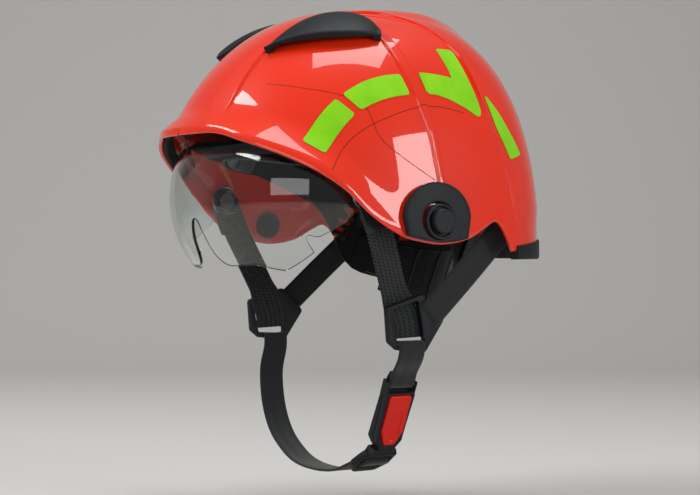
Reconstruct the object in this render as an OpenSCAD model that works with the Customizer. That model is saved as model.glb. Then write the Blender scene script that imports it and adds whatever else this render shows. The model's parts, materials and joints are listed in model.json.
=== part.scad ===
// Fire and rescue helmet: moulded shell, foam liner, swinging visor, ratchet headband and chin harness.
// X points to the wearer's left, the brow faces -Y and Z is up. The origin is in the middle plane at the line
// of the ears, just below the shell's edge there. Lengths are in millimetres, angles in degrees.

/* [Shell form] */
// Half width of the dome at its base
shell_half_w = 118; // [114:0.5:122]
// Length from the dome's centre to its front pole
front_len = 167; // [162:0.5:172]
// Length from the dome's centre to its rear pole
rear_len = 121; // [117:0.5:126]
// Height of the crown above the ear edge, without the centre band
crown_h = 173; // [168:0.5:178]
// Depth of the dome's base below the ear edge
base_drop = 9; // [8:0.5:12]
// Distance of the dome's centre behind the side ports
dome_y = 19; // [16:0.5:22]
// Squareness of the plan ahead of the centre, 2 is an ellipse
front_power = 2.25; // [2.1:0.05:2.4]
// Squareness of the plan behind the centre
rear_power = 2.35; // [2.2:0.05:2.5]
// Squareness of the upright sections
side_power = 2.4; // [2.2:0.05:2.6]
// Squareness of the upright sections towards the brow, which is rounder
front_rise = 2.26; // [2.2:0.02:2.4]
// Wall of the moulded shell
shell_wall = 3.2; // [2.6:0.1:4]

/* [Shell edge] */
// Height of the brim at the brow
brim_z = 78; // [74:0.5:82]
// Outward flare of the brim
brim_flare = 9; // [6:0.5:10]
// Height of the edge at the ear
ear_z = 2; // [0:0.5:5]
// Height of the top of the strap notch behind the ear
notch_z = 18; // [14:0.5:22]
// Distance of the notch's top behind the ports
notch_y = 50; // [47:0.5:52]
// Height of the heel, the lowest point behind the notch
heel_z = -3; // [-5:0.5:-1]
// Distance of the heel behind the ports
heel_y = 69; // [67:0.5:72]
// Height of the edge at the nape
nape_z = 4; // [1:0.5:7]

/* [Shell features] */
// Height of the raised centre band
crease_h = 2.2; // [1:0.1:3]
// Extra height of the crest at the back of the band
crest_h = 3.6; // [2:0.1:5]
// Height of each of the two steps down behind the crest
step_h = 2.4; // [1:0.1:3]
// Height of the rib from the vent cover to the side plate
rib_h = 1.8; // [1:0.1:2.5]
// Width of that rib at its top
rib_w = 9; // [7:0.5:10]
// Width of that rib at the side plate
rib_foot_w = 4.5; // [4:0.5:6]

/* [Liner] */
// Gap between the shell and the liner
liner_gap = 0.9; // [0.6:0.1:1.5]
// Thickness of the foam liner
liner_wall = 26; // [22:0.5:30]

/* [Visor] */
// Distance of the visor's pivot ahead of the ports
pivot_y = -49; // [-52:0.5:-46]
// Height of the visor's pivot
pivot_z = 36; // [34:0.5:38]
// Radius of the visor's swing at its middle
visor_r = 80.5; // [78:0.5:83]
// Half width over the visor's two hubs
visor_half_w = 101; // [99:0.5:103]
// Wall of the visor
visor_wall = 2.2; // [1.8:0.1:2.8]
// Squareness of the visor's front curve
visor_power = 2.2; // [2.05:0.05:2.4]
// Angle of the visor's upper edge above level
visor_top = 36; // [33:1:38]
// Radius of the visor's hubs
hub_r = 11; // [10:0.5:12]
// Radius of the pivot pins
pin_r = 3; // [2.5:0.1:3.5]
// Radial clearance of everything that turns on a pin
turn_gap = 0.05; // [0.02:0.01:0.09]

/* [Side ports] */
// Half width of the side plate, and radius of its round top
plate_r = 26; // [24:0.5:28]
// Height of the port's axis
port_z = 17.5; // [16:0.5:19]
// Distance of the port's axis and of the plate ahead of the ear line
port_y = -3.5; // [-5:0.5:-2]
// Thickness of the side plate
plate_t = 3; // [2:0.2:4]
// Radius of the port's ring
port_ring_r = 12.2; // [11:0.2:14]
// Height of the ring above the plate
port_ring_h = 1.6; // [1:0.1:2.5]
// Radius of the accessory stud
stud_r = 8.5; // [7:0.1:9.5]
// Height of the stud above the ring
stud_h = 4; // [3:0.2:6]
// Radius of the port's screw
port_screw_r = 2.5; // [2:0.1:3]

/* [Vent covers] */
// Height of a cover's lip above the shell
cover_h = 9; // [7:0.2:11]
// Height of the open mouth under the lip
mouth_h = 3.8; // [2.5:0.1:3.9]
// Wall of a cover away from its lip
cover_wall = 2.2; // [1.6:0.1:3]

/* [Headband] */
// Half width of the headband, and radius of its round back
band_r = 78; // [76:0.5:80]
// Length from the band's centre to the brow
band_front = 128; // [124:0.5:130]
// Distance of the band's centre behind the ports
band_y = 21; // [19:0.5:24]
// Height of the band's centre
band_z = 11; // [8:0.5:13]
// Slope of the band, down to the nape
band_tilt = 22; // [20:0.5:24]
// Width of the band's strip
band_w = 30; // [28:0.5:34]
// Thickness of the band's strip
band_t = 2.2; // [1.6:0.1:2.8]
// Pitch radius of the size pinion
pinion_r = 6; // [5.5:0.5:6.5]
// Teeth on the pinion
pinion_teeth = 12; // [10:1:14]
// Radius of the size wheel
wheel_r = 16; // [14:0.5:18]
// Thickness of the size wheel
wheel_t = 9; // [7:0.5:11]
// Turn of the size wheel each way from the middle of its range
wheel_turn = 150; // [120:5:160]
// Gap between sliding plastic parts
slide_gap = 0.35; // [0.3:0.05:0.45]
// Gap between parts that are clipped or laid together
seat_gap = 0.25; // [0.15:0.05:0.4]

/* [Harness] */
// Width of the webbing
web_w = 20.5; // [19:0.5:22]
// Thickness of the webbing
web_t = 1.8; // [1.4:0.1:2.2]
// Distance of each yoke from the middle plane
yoke_x = 95; // [93:0.5:97]
// Height of the yokes' centre below the ear edge
yoke_z = -52; // [-55:0.5:-50]
// Thickness of a yoke
yoke_t = 5; // [4:0.2:6]
// Length of the buckle housing
buckle_l = 54; // [52:0.5:56]
// Width of the buckle housing
buckle_w = 24; // [23:0.5:27]
// Thickness of the buckle housing
buckle_t = 12; // [11:0.2:13]
// Lean of the buckle, inward and down
buckle_lean = 24; // [20:1:28]
// Length of the press button
button_l = 38.5; // [36:0.5:40]
// Width of the press button
button_w = 17.5; // [16:0.5:18.5]
// Travel of the press button
button_travel = 2; // [1.5:0.1:2.2]

/* [Hidden] */
$fn = 48;

red = [0.86, 0.17, 0.09];
black = [0.15, 0.16, 0.17];
grey = [0.24, 0.25, 0.26];
foam = [0.2, 0.2, 0.21];
web = [0.13, 0.14, 0.15];
lime = [0.5, 0.8, 0.12];
button_red = [0.78, 0.12, 0.07];
steel = [0.7, 0.71, 0.72];
clear = [0.8, 0.9, 0.95, 0.45];

dome_z = -base_drop;
dome_rise = crown_h + base_drop;

// Small tools for numbers and lists

function clamp(v, low, high) = min(max(v, low), high);
// A smooth step from 0 at a to 1 at b
function ramp(a, b, v) = let (t = clamp((v - a) / (b - a), 0, 1)) t * t * (3 - 2 * t);
function mix(a, b, t) = a + (b - a) * t;
function unit(v) = v / norm(v);
function flip(list) = [for (i = [len(list) - 1:-1:0]) list[i]];
function mirror_x(list) = [for (p = list) [-p[0], p[1]]];
// A point on the quadratic curve from a to c that leans towards b
function bend(a, b, c, t) = a * (1 - t) * (1 - t) + b * 2 * t * (1 - t) + c * t * t;
// A point on the cubic curve from a to d that leaves towards b and arrives from c
function cubic(a, b, c, d, t) =
    a * pow(1 - t, 3) + b * 3 * t * pow(1 - t, 2) + c * 3 * t * t * (1 - t) + d * pow(t, 3);
// The round corner at b of an outline that comes from a and goes to c
function corner(a, b, c, r, steps) =
    let (u = unit(a - b), v = unit(c - b), half = acos(u * v) / 2, centre = b + unit(u + v) * r / sin(half))
    let (p = b + u * r / tan(half) - centre, q = b + v * r / tan(half) - centre)
    [for (i = [0:steps]) centre + unit(mix(p, q, i / steps)) * r];
function rounded(points, r, steps = 4) =
    let (n = len(points))
    [for (i = [0:n - 1]) each corner(points[(i + n - 1) % n], points[i], points[(i + 1) % n], r, steps)];
function box_outline(w, h) = [[-w / 2, -h / 2], [w / 2, -h / 2], [w / 2, h / 2], [-w / 2, h / 2]];
// A smooth curve through all the points, with the given steps between each two
function curve(p, steps) = [
    for (i = [0:len(p) - 2])
        for (j = [0:steps - 1])
            let (a = p[max(i - 1, 0)], b = p[i], c = p[i + 1], d = p[min(i + 2, len(p) - 1)], t = j / steps)
            (b * 2 + (c - a) * t + (a * 2 - b * 5 + c * 4 - d) * t * t + (b * 3 - a - c * 3 + d) * t * t * t) / 2,
    p[len(p) - 1]
];

// A closed solid between two grids of points, outer seen from outside with rows running to the right
module sheet_solid(outer, inner) {
    rows = len(outer);
    cols = len(outer[0]);
    count = rows * cols;
    points = concat([for (r = outer) each r], [for (r = inner) each r]);
    top = [
        for (i = [0:rows - 2])
            for (j = [0:cols - 2])
                let (a = i * cols + j, b = a + 1, c = a + cols, d = c + 1)
                each j < cols / 2 - 0.6 ? [[a, c, b], [b, c, d]] : [[a, c, d], [a, d, b]]
    ];
    bottom = [for (f = top) [f[0] + count, f[2] + count, f[1] + count]];
    loop = concat(
        [for (j = [0:cols - 1]) j],
        [for (i = [1:rows - 1]) i * cols + cols - 1],
        [for (j = [cols - 2:-1:0]) (rows - 1) * cols + j],
        [for (i = [rows - 2:-1:1]) i * cols]
    );
    n = len(loop);
    walls = [
        for (k = [0:n - 1])
            let (a = loop[k], b = loop[(k + 1) % n])
            each [[a, b, a + count], [b, b + count, a + count]]
    ];
    polyhedron(points, concat(top, bottom, walls), convexity = 6);
}

// A closed tube through rings of equally many points, with flat ends
module ring_solid(rings) {
    n = len(rings[0]);
    last = len(rings) - 1;
    sides = [
        for (i = [0:last - 1])
            for (j = [0:n - 1])
                let (a = i * n + j, b = i * n + (j + 1) % n)
                each [[a, a + n, b], [b, a + n, b + n]]
    ];
    ends = [for (j = [1:n - 2]) each [[0, j, j + 1], [last * n, last * n + j + 1, last * n + j]]];
    polyhedron([for (r = rings) each r], concat(sides, ends), convexity = 6);
}

// Flat webbing along a route, its width laid as near as it can to the direction across, or to one for each point
function web_rings(route, across, w, t) = [
    for (i = [0:len(route) - 1])
        let (ahead = unit(route[min(i + 1, len(route) - 1)] - route[max(i - 1, 0)]))
        let (wish = is_list(across[0]) ? across[i] : across, side = unit(wish - ahead * (wish * ahead)))
        let (out = cross(ahead, side), p = route[i])
        [p - side * w / 2 - out * t / 2, p + side * w / 2 - out * t / 2,
         p + side * w / 2 + out * t / 2, p - side * w / 2 + out * t / 2]
];
module webbing(route, across, w = web_w, t = web_t) ring_solid(web_rings(route, across, w, t));

// Right-hand copies are mirror images of the left-hand pieces
module on_side(side) {
    if (side < 0) mirror([1, 0, 0]) children();
    else children();
}

// The dome: every point is a point of a unit superellipsoid, scaled by the dome's half axes plus an offset h

function reach(y) = y < dome_y ? front_len : rear_len;
function plan_power(y) = y < dome_y ? front_power : rear_power;
function rise_power(y) = mix(front_rise, side_power, ramp(-110, -20, y));
function place(u, h) = [
    u[0] * (shell_half_w + h),
    dome_y + u[1] * ((u[1] < 0 ? front_len : rear_len) + h),
    dome_z + u[2] * (dome_rise + h)
];
function unit_yz(y, z, h = 0) =
    let (m = plan_power(y), e = (y - dome_y) / (reach(y) + h), k = max(0, (z - dome_z) / (dome_rise + h)))
    let (p = rise_power(y), r = pow(max(0, 1 - pow(k, p)), m / p) - pow(abs(e), m))
    [pow(max(r, 0), 1 / m), e, k];
function unit_xy(x, y, h = 0) =
    let (m = plan_power(y), a = x / (shell_half_w + h), e = (y - dome_y) / (reach(y) + h))
    let (p = rise_power(y), r = pow(pow(abs(a), m) + pow(abs(e), m), p / m))
    [a, e, pow(max(0, 1 - r), 1 / p)];
function wall_x(y, z, h) = place(unit_yz(y, z, h), h)[0];

// Side view of the shell's lower edge, as distance behind the ports and height
edge_line = [
    [-150, brim_z], [-129, brim_z], [-118, brim_z - 7], [-99, brim_z - 18], [-83, brim_z - 28],
    [-68, brim_z - 40], [-53, ear_z + 20], [-32, ear_z + 6.5], [-13, ear_z + 1.5], [0, ear_z],
    [25, mix(ear_z, notch_z, 0.25)], [notch_y - 8, mix(ear_z, notch_z, 0.8)], [notch_y, notch_z],
    [mix(notch_y, heel_y, 0.4), mix(heel_z, notch_z, 0.75)], [mix(notch_y, heel_y, 0.7), mix(heel_z, notch_z, 0.38)],
    [heel_y, heel_z],
    [rear_len + dome_y, nape_z]
];
function edge_z(y) = lookup(y, edge_line);

// The centre band: its half width along the top, then the height of its edge where that turns down behind the ears
band_line = [[-150, 37], [-128, 36], [-88, 30.5], [-20, 27], [0, 32], [20, 48], [34, 65]];
function band_half(y) = lookup(y, band_line);
ridge_from = 34;
ridge_line = [
    [ridge_from, 152.8], [44, 135], [46.5, 120], [49.5, 105.5], [53, 91], [59.5, 68.5], [67, 43], [72, 18], [76, -20]
];
crease_run = 1.6;
// How far a point lies outside the band's edge
function band_out(p) = p[1] < ridge_from ? abs(p[0]) - band_half(p[1]) : lookup(p[1], ridge_line) - p[2];
function crease_k(y, more) =
    y < ridge_from ? unit_xy(band_half(y) + more, y)[2] : (lookup(y, ridge_line) - more - dome_z) / dome_rise;

// The rib leans back on its way down from the rear end of the vent cover to the side plate
rib_foot_z = 44;
rib_top_z = 147;
rib_line = [[rib_foot_z, 2], [79, -1], [96, -4.3], [114, -7.5], [130, -11.5], [rib_top_z, -14]];
function rib_y(z) = lookup(z, rib_line);

crest_line = [[-20, 0], [25, 0.45], [60, 1], [150, 1]];
crest_end = 82;
step_run = 3;
step_gap = 15;
crest_half = 30;
crest_fade = 16;
// The band is lower at the back of the head and runs out before the rear trim
function band_lift(p) =
    let (y = p[1], in_crest = 1 - ramp(crest_half, crest_half + crest_fade, abs(p[0])))
    let (steps = ramp(crest_end, crest_end + step_run, y)
        + ramp(crest_end + step_gap, crest_end + step_gap + step_run, y))
    crease_h * mix(0.55, 1, ramp(60, 150, p[2])) * ramp(edge_z(y) + 12, edge_z(y) + 30, p[2])
        + in_crest * (crest_h * lookup(y, crest_line) - step_h * steps);
function rib_lift(p) =
    let (off = abs(p[1] - rib_y(p[2])), in_run = p[2] > rib_foot_z - 6 && p[2] < rib_top_z - 3)
    let (half = mix(rib_foot_w, rib_w, clamp((p[2] - rib_foot_z) / (rib_top_z - rib_foot_z), 0, 1)) / 2)
    in_run && band_out(p) > 0 ? rib_h * (1 - ramp(half - 1, half + 0.6, off)) : 0;
flare_rise = 30;
function flare(p) =
    brim_flare * pow(clamp(1 - (p[2] - edge_z(p[1])) / flare_rise, 0, 1), 1.6) * (1 - ramp(-75, -20, p[1]));
function lift(p) =
    band_lift(p) * (1 - ramp(0, crease_run, band_out(p))) + rib_lift(p) + flare(p);

// Stations from the brow to the nape, as angles along the centre line, each break kept exactly
function turn_of(y) =
    let (a = acos(clamp(pow(abs((y - dome_y) / reach(y)), side_power / 2), 0, 1)))
    y < dome_y ? a : 180 - a;
function y_of(turn) =
    let (c = pow(abs(cos(turn)), 2 / side_power))
    turn < 90 ? dome_y - front_len * c : dome_y + rear_len * c;
function stations(breaks, step) = [
    for (i = [0:len(breaks) - 2])
        let (a = turn_of(breaks[i]), b = turn_of(breaks[i + 1]), n = max(1, ceil((b - a) / step)))
        for (j = [0:n - 1]) y_of(a + (b - a) * j / n),
    breaks[len(breaks) - 1]
];
// Where the centre line meets a lower edge of height z, ahead of or behind the dome's centre
function tip(z, p) = pow(1 - pow((z - dome_z) / dome_rise, p), 1 / p);
tip_trim = 0.4;
front_tip = dome_y - front_len * tip(brim_z, front_rise) + tip_trim;
rear_tip = dome_y + rear_len * tip(nape_z, side_power) - tip_trim;

// A cross-section of the dome at one station is a row of unit points from the left edge over the top
function top_of(y) =
    let (p = rise_power(y)) pow(1 - pow(abs((y - dome_y) / reach(y)), p), 1 / p);
function at_turn(y, t, side) =
    let (m = plan_power(y), p = rise_power(y), e = (y - dome_y) / reach(y), k = top_of(y) * pow(cos(t), 2 / p))
    let (r = pow(1 - pow(k, p), m / p) - pow(abs(e), m))
    [side * pow(max(r, 0), 1 / m), e, k];
function turn_at_k(y, k) = acos(pow(clamp(k / top_of(y), 0, 1), rise_power(y) / 2));
function half_turns(y, low_z, cols, band_cols) =
    let (last = turn_at_k(y, max(0, (low_z - dome_z) / dome_rise)))
    let (crease = min(turn_at_k(y, crease_k(y, 0)), 0.88 * last))
    let (foot = min(turn_at_k(y, crease_k(y, crease_run)), 0.94 * last))
    concat(
        [for (i = [0:cols]) mix(last, foot, pow(i / cols, 1.25))],
        [for (i = [0:band_cols - 1]) crease * (1 - i / (band_cols - 0.5))]
    );
function section(y, low_z, cols, band_cols) =
    let (turns = half_turns(y, low_z, cols, band_cols))
    concat([for (t = turns) at_turn(y, t, 1)], [for (t = flip(turns)) at_turn(y, t, -1)]);

shell_breaks = [
    front_tip, -129, -118, -99, -83, -68, -53, -32, -18, -15, -12, -9, -6, -3, 0, 3, 6, 14, 25, ridge_from, 38,
    notch_y - 8, 44, 46.5, notch_y, 53, mix(notch_y, heel_y, 0.4), mix(notch_y, heel_y, 0.7), heel_y, 73, crest_end, crest_end + step_run, crest_end + step_gap,
    crest_end + step_gap + step_run, rear_tip
];
shell_cols = 8;
shell_step = 8;

module outer_shell() {
    grid = [for (y = stations(shell_breaks, shell_step)) section(y, edge_z(y), shell_cols, 8)];
    color(red)
        difference() {
            sheet_solid(
                [for (row = grid) [for (u = flip(row)) place(u, lift(place(u, 0)))]],
                [for (row = grid) [for (u = flip(row)) place(u, flare(place(u, 0)) - shell_wall)]]
            );
            for (side = [1, -1]) at_port(side, shell_half_w - 20) cylinder(r = port_screw_r + 0.1, h = 30);
        }
}

// Foam liner. Ahead of the crown it keeps inside the space that the visor sweeps.
liner_line = [
    [-150, brim_z], [-95, brim_z], [-60, brim_z - 6], [-10, 57], [30, 42], [60, 40], [90, 38], [112, 31], [150, 24]
];
function liner_edge_z(y) = lookup(y, liner_line);
liner_out = -(shell_wall + liner_gap);
liner_in = liner_out - liner_wall;
sweep_gap = 3.2;
sweep_end = visor_top + 62;
sweep_fade = 18;
sweep_liner = 6;
// Above 1 the point lies outside the visor's inner face, less the inset
function sweep_size(p, inset) =
    pow(pow(abs(p[0]) / (visor_half_w - visor_wall - inset), visor_power)
        + pow(norm([p[1] - pivot_y, p[2] - pivot_z]) / (visor_r - visor_wall - inset), visor_power),
        1 / visor_power);
function clear_of_visor(p, inset, more = 0) =
    let (turn = atan2(p[2] - pivot_z, pivot_y - p[1]), angle = turn < -90 ? turn + 360 : turn)
    let (size = max(1, sweep_size(p, inset)), end = sweep_end + more)
    let (k = mix(1 / size, 1, ramp(end, end + sweep_fade, angle)))
    [p[0] * k, mix(pivot_y, p[1], k), mix(pivot_z, p[2], k)];
// Height of the liner's lower face behind the dome's centre, at an offset from the dome
function liner_low(y, h) =
    dome_z + (liner_edge_z(dome_y + (y - dome_y) * rear_len / (rear_len + h)) - dome_z) * (dome_rise + h) / dome_rise;
liner_front = dome_y - front_len * tip(brim_z, front_rise) + 2;
liner_rear = dome_y + rear_len * tip(liner_edge_z(rear_len), side_power) - 2;
liner_breaks = [liner_front, -95, -60, -10, 30, 60, 90, liner_rear];

module impact_liner() {
    grid = [for (y = stations(liner_breaks, 8)) section(y, liner_edge_z(y), 8, 4)];
    color(foam)
        sheet_solid(
            [for (row = grid) [for (u = flip(row)) clear_of_visor(place(u, liner_out), sweep_gap)]],
            [for (row = grid) [for (u = flip(row)) clear_of_visor(place(u, liner_in), sweep_gap + sweep_liner)]]
        );
}

// Points of the dome's foot, by plan angle from the left side towards the back or the front
function foot_at(angle, z, h, p) =
    let (s = sin(angle), m = s < 0 ? front_power : rear_power, k = max(0, (z - dome_z) / dome_rise))
    let (q = pow(1 - pow(k, p), 1 / p))
    let (x = pow(abs(cos(angle)), 2 / m) * sign(cos(angle)), e = pow(abs(s), 2 / m) * sign(s))
    let (f = place([x * q, e * q, 0], h))
    [f[0], f[1], z];
function foot_point(angle, z, h) = foot_at(angle, z, h, rise_power(foot_at(angle, z, h, side_power)[1]));
function foot_angle(y) =
    let (m = plan_power(y)) sign(y - dome_y) * asin(pow(abs(y - dome_y) / reach(y), m / 2));
trim_lip = 1.4;
trim_cover = 4;
trim_bottom = -8.5;

// Edge trim: a channel that grips the shell's rear edge, deeper at the nape
function trim_ring(angle) =
    let (e = edge_z(foot_point(angle, nape_z, 0)[1]), in = -shell_wall - seat_gap)
    [
        for (q = [[trim_lip, e + trim_cover], [trim_lip, trim_bottom + 1.5], [0.2, trim_bottom],
                  [in - 1, trim_bottom], [in - trim_lip, trim_bottom + 1.5], [in - trim_lip, e + trim_cover],
                  [in, e + trim_cover], [in, e - seat_gap], [seat_gap, e - seat_gap], [seat_gap, e + trim_cover]])
            foot_point(angle, q[1], q[0])
    ];
module rear_edge_trim() {
    first = foot_angle(heel_y + 3);
    steps = 26;
    color(black) ring_shell([for (i = [0:steps]) trim_ring(mix(180 - first, first, i / steps))]);
}

// A closed tube like ring_solid, for a channel section whose end caps are quads and triangles of the channel
module ring_shell(rings) {
    n = len(rings[0]);
    last = len(rings) - 1;
    sides = [
        for (i = [0:last - 1])
            for (j = [0:n - 1])
                let (a = i * n + j, b = i * n + (j + 1) % n)
                each [[a, b, a + n], [b, b + n, a + n]]
    ];
    cap = [[0, 1, 8], [0, 8, 9], [1, 2, 8], [2, 3, 7], [2, 7, 8], [3, 4, 7], [4, 5, 6], [4, 6, 7]];
    first = [for (f = cap) [f[0], f[2], f[1]]];
    back = [for (f = cap) [f[0] + last * n, f[1] + last * n, f[2] + last * n]];
    polyhedron([for (r = rings) each r], concat(sides, first, back), convexity = 6);
}

// Soft black seal that runs round the inside of the brim, just above its edge
seal_low = 1.5;
seal_high = 8;
seal_t = 3;
seal_gap = 0.8;
seal_end_y = -94;
function seal_row(angle, z_up) =
    let (y = foot_point(angle, brim_z, 0)[1], z = edge_z(y) + z_up)
    [for (h = [0, -seal_t]) foot_point(angle, z, flare([0, y, z]) - shell_wall - seal_gap + h)];
module brow_seal() {
    first = foot_angle(seal_end_y);
    steps = 28;
    color(black)
        ring_solid([
            for (i = [0:steps])
                let (a = mix(first, -180 - first, i / steps))
                let (low = seal_row(a, seal_low), high = seal_row(a, seal_high))
                [high[0], high[1], low[1], low[0]]
        ]);
}

// A patch on the dome, from a grid of unit points and two offsets, each a number or a grid of numbers
module dome_patch(grid, low, high) {
    function offset_at(h, i, j) = is_list(h) ? h[i][j] : h;
    rows = len(grid) - 1;
    cols = len(grid[0]) - 1;
    sheet_solid(
        [for (i = [0:rows]) [for (j = [0:cols]) place(grid[i][j], offset_at(high, i, j))]],
        [for (i = [0:rows]) [for (j = [0:cols]) place(grid[i][j], offset_at(low, i, j))]]
    );
}

// Vent cover: a raised half-moon hood beside the centre band, open under its lip
cover_a = [33, -88];
cover_b = [72, -19];
lip_lean = [68, -58];
crest_lean = [20, -16];
cover_rows = 16;
cover_cols = 7;
cover_base = 0.4;
function cover_plan(u, v) =
    let (lip = bend(cover_a, lip_lean, cover_b, u))
    let (back = bend(cover_a + [0.6, 4], crest_lean, cover_b + [-7, 4], u))
    mix(lip, back, v);
function cover_top(u, v) =
    let (ends = pow(sin(180 * clamp(u, 0.04, 0.96)), 0.25), slope = 1 - 0.5 * v * v)
    cover_base + max(cover_wall, cover_h * slope * ends);
function cover_under(u, v) =
    let (inside = ramp(0.05, 0.09, u) * (1 - ramp(0.91, 0.95, u)) * (1 - ramp(0.5, 0.85, v)))
    cover_base + mouth_h * inside;
module vent_cover(side) {
    us = [for (i = [0:cover_rows]) (i == 1 ? 0.05 : i == 2 ? 0.09 : i == cover_rows - 2 ? 0.91
        : i == cover_rows - 1 ? 0.95 : i / cover_rows)];
    vs = [for (j = [0:cover_cols]) j / cover_cols];
    on_side(side)
        color(black)
            dome_patch(
                [for (v = vs) [for (u = us) let (p = cover_plan(u, v)) unit_xy(p[0], p[1])]],
                [for (v = vs) [for (u = us) cover_under(u, v)]],
                [for (v = vs) [for (u = us) cover_top(u, v)]]
            );
}

// Side plate: an arch that follows the shell over the ear, recessed flat where the port sits
plate_low = 1;
plate_base = rib_h + seat_gap;
plate_arc = 0.42;
function plate_point(u, v) =
    let (w = v < plate_arc ? mix(0.9, 1, v / plate_arc) : sqrt(1 - pow((v - plate_arc) / (1 - plate_arc), 2)))
    let (y = port_y + plate_r * w * u)
    [y, mix(edge_z(y) + plate_low, port_z + plate_r, v)];
function ring_of(r) = [for (a = [0:30:330]) [port_y + r * cos(a), port_z + r * sin(a)]];
port_seat_x = min([for (p = ring_of(port_ring_r + 1)) wall_x(p[0], p[1], plate_base + plate_t)]) - 0.4;
port_face_x = wall_x(port_y, port_z, plate_base + plate_t) + port_ring_h;
washer_r = 10.5;
washer_t = 2.6;
washer_x = min([for (p = ring_of(washer_r)) wall_x(p[0], p[1], -shell_wall)]) - seat_gap;
// The port leans with the shell's wall, about the middle of its seat
port_lean = 2.4;
module at_port(side, x) on_side(side) translate([port_seat_x, port_y, port_z]) rotate([0, 90 - port_lean, 0])
    translate([0, 0, x - port_seat_x]) children();
module side_plate(side) {
    rows = 9;
    cols = 10;
    grid = [
        for (i = [rows:-1:0])
            [for (j = [0:cols])
                let (p = plate_point(mix(1, -1, j / cols), sin(90 * i / rows) * 0.99))
                unit_yz(p[0], p[1])]
    ];
    color(black)
        difference() {
            on_side(side) dome_patch(grid, plate_base, plate_base + plate_t);
            at_port(side, port_seat_x) cylinder(r = port_ring_r + seat_gap, h = 10);
            at_port(side, port_seat_x - 10) cylinder(r = port_screw_r + 0.1, h = 20);
        }
}

// Side port: a ring round an accessory stud with a necked foot, fixed from inside by a large flat screw
groove_w = 1.8;
neck = 0.7;
neck_rise = 0.8;
module side_port(side) {
    ring_top = port_face_x - port_seat_x;
    stud_top = ring_top + stud_h;
    color(grey)
        at_port(side, port_seat_x)
            difference() {
                rotate_extrude()
                    polygon([
                        [0, 0.1], [port_ring_r, 0.1], [port_ring_r, ring_top - 0.5], [port_ring_r - 0.5, ring_top],
                        [stud_r + groove_w + 0.4, ring_top], [stud_r + groove_w, ring_top - 0.4],
                        [stud_r + groove_w, 1], [stud_r - neck, 1], [stud_r - neck, ring_top + neck_rise - neck],
                        [stud_r, ring_top + neck_rise], [stud_r, stud_top - 0.8], [stud_r - 0.8, stud_top],
                        [0, stud_top]
                    ]);
                translate([0, 0, -1]) cylinder(r = port_screw_r + 0.02, h = stud_top - 2);
            }
}
module port_washer(side) {
    shank = port_seat_x - washer_x + port_face_x - port_seat_x;
    color(grey)
        at_port(side, washer_x - washer_t)
            union() {
                rotate_extrude()
                    polygon([[0, 0], [washer_r - 1, 0], [washer_r, 1], [washer_r, washer_t], [0, washer_t]]);
                cylinder(r = port_screw_r, h = washer_t + shank - 1);
            }
}

// Reflective strips: each a smooth band between two edges given as distance behind the ports and height
strip_t = 0.4;
strip_seat = 0.3;
strip_edges = [
    [[[-78, 61.5], [-72, 71], [-64, 81], [-55, 90]], [[-90, 70], [-83, 81], [-74.5, 91.5], [-65, 100.5]]],
    [[[-50.5, 93], [-38, 99], [-25, 103], [-12.5, 105]], [[-60, 104], [-45, 112.5], [-30, 117.5], [-15.5, 119.5]]],
    [[[1.5, 106.5], [11, 105.5], [21, 102.5], [33, 97], [43, 92], [46, 98], [42.5, 119], [39, 141]],
     [[-0.5, 121.5], [9, 121.2], [17, 120.5], [23, 119.8], [26.5, 119], [26.8, 124], [25.5, 132], [24, 141]]],
    [[[52, 105.5], [54.5, 95], [57.5, 84], [63, 73], [68.5, 62]], [[53.5, 106.5], [64, 94], [71, 83.5], [77.5, 74.5], [83, 66]]]
];
module reflective_strips(side) {
    on_side(side)
        color(lime)
            for (s = strip_edges) {
                low = curve(s[0], 4);
                high = curve(s[1], 4);
                grid = [
                    for (v = [1, 0.5, 0])
                        [for (j = [len(low) - 1:-1:0]) let (p = mix(low[j], high[j], v)) unit_yz(p[0], p[1])]
                ];
                lifted = [for (row = grid) [for (u = row) lift(place(u, 0)) + strip_seat]];
                dome_patch(grid, lifted, [for (row = lifted) [for (h = row) h + strip_t]]);
            }
}

// Visor: a thin surface of revolution about the pivot axis, trimmed by its front outline
lens_low = 52;
visor_rim_angle = 3;
lens_steps = 18;
function lens_profile(grow) =
    let (b = visor_r + grow, a = visor_half_w + grow)
    [for (i = [-lens_steps:lens_steps])
        let (t = 84 * i / lens_steps)
        [b * pow(cos(t), 2 / visor_power), a * sign(t) * pow(abs(sin(t)), 2 / visor_power)]];
module about_pivot(from, sweep, outline) {
    translate([0, pivot_y, pivot_z])
        rotate([0, 90, 0])
            rotate([0, 0, -90 - from - sweep])
                rotate_extrude(angle = sweep, $fn = 96)
                    polygon(outline);
}
hub_in = visor_half_w - visor_wall - 0.8;
visor_outline = [
    [0, 21], [4, 18], [8, 9], [12, -4], [17, -11], [28, -13], [45, -12.5], [62, -16], [74, -17.5], [80, -14],
    [82.5, -5], [84, 5], [89, 7], [95, 13], [visor_half_w, 24], [visor_half_w + 2, 150], [0, 150]
];
module visor() {
    half_outline = rounded([for (i = [1:len(visor_outline) - 2]) visor_outline[i]], 2, 2);
    color(clear)
        difference() {
            union() {
                intersection() {
                    about_pivot(-lens_low, lens_low + visor_top, concat(lens_profile(0), flip(lens_profile(-visor_wall))));
                    translate([0, pivot_y, 0])
                        rotate([90, 0, 0])
                            linear_extrude(height = visor_r + 10)
                                polygon(concat([visor_outline[0]], half_outline, flip(mirror_x(half_outline))));
                }
                for (s = [1, -1])
                    translate([s * (hub_in + visor_half_w) / 2, pivot_y, pivot_z])
                        rotate([0, 90, 0])
                            cylinder(r = hub_r, h = visor_half_w - hub_in, center = true);
            }
            translate([0, pivot_y, pivot_z])
                rotate([0, 90, 0]) cylinder(r = pin_r + turn_gap, h = 3 * visor_half_w, center = true);
        }
}
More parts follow.
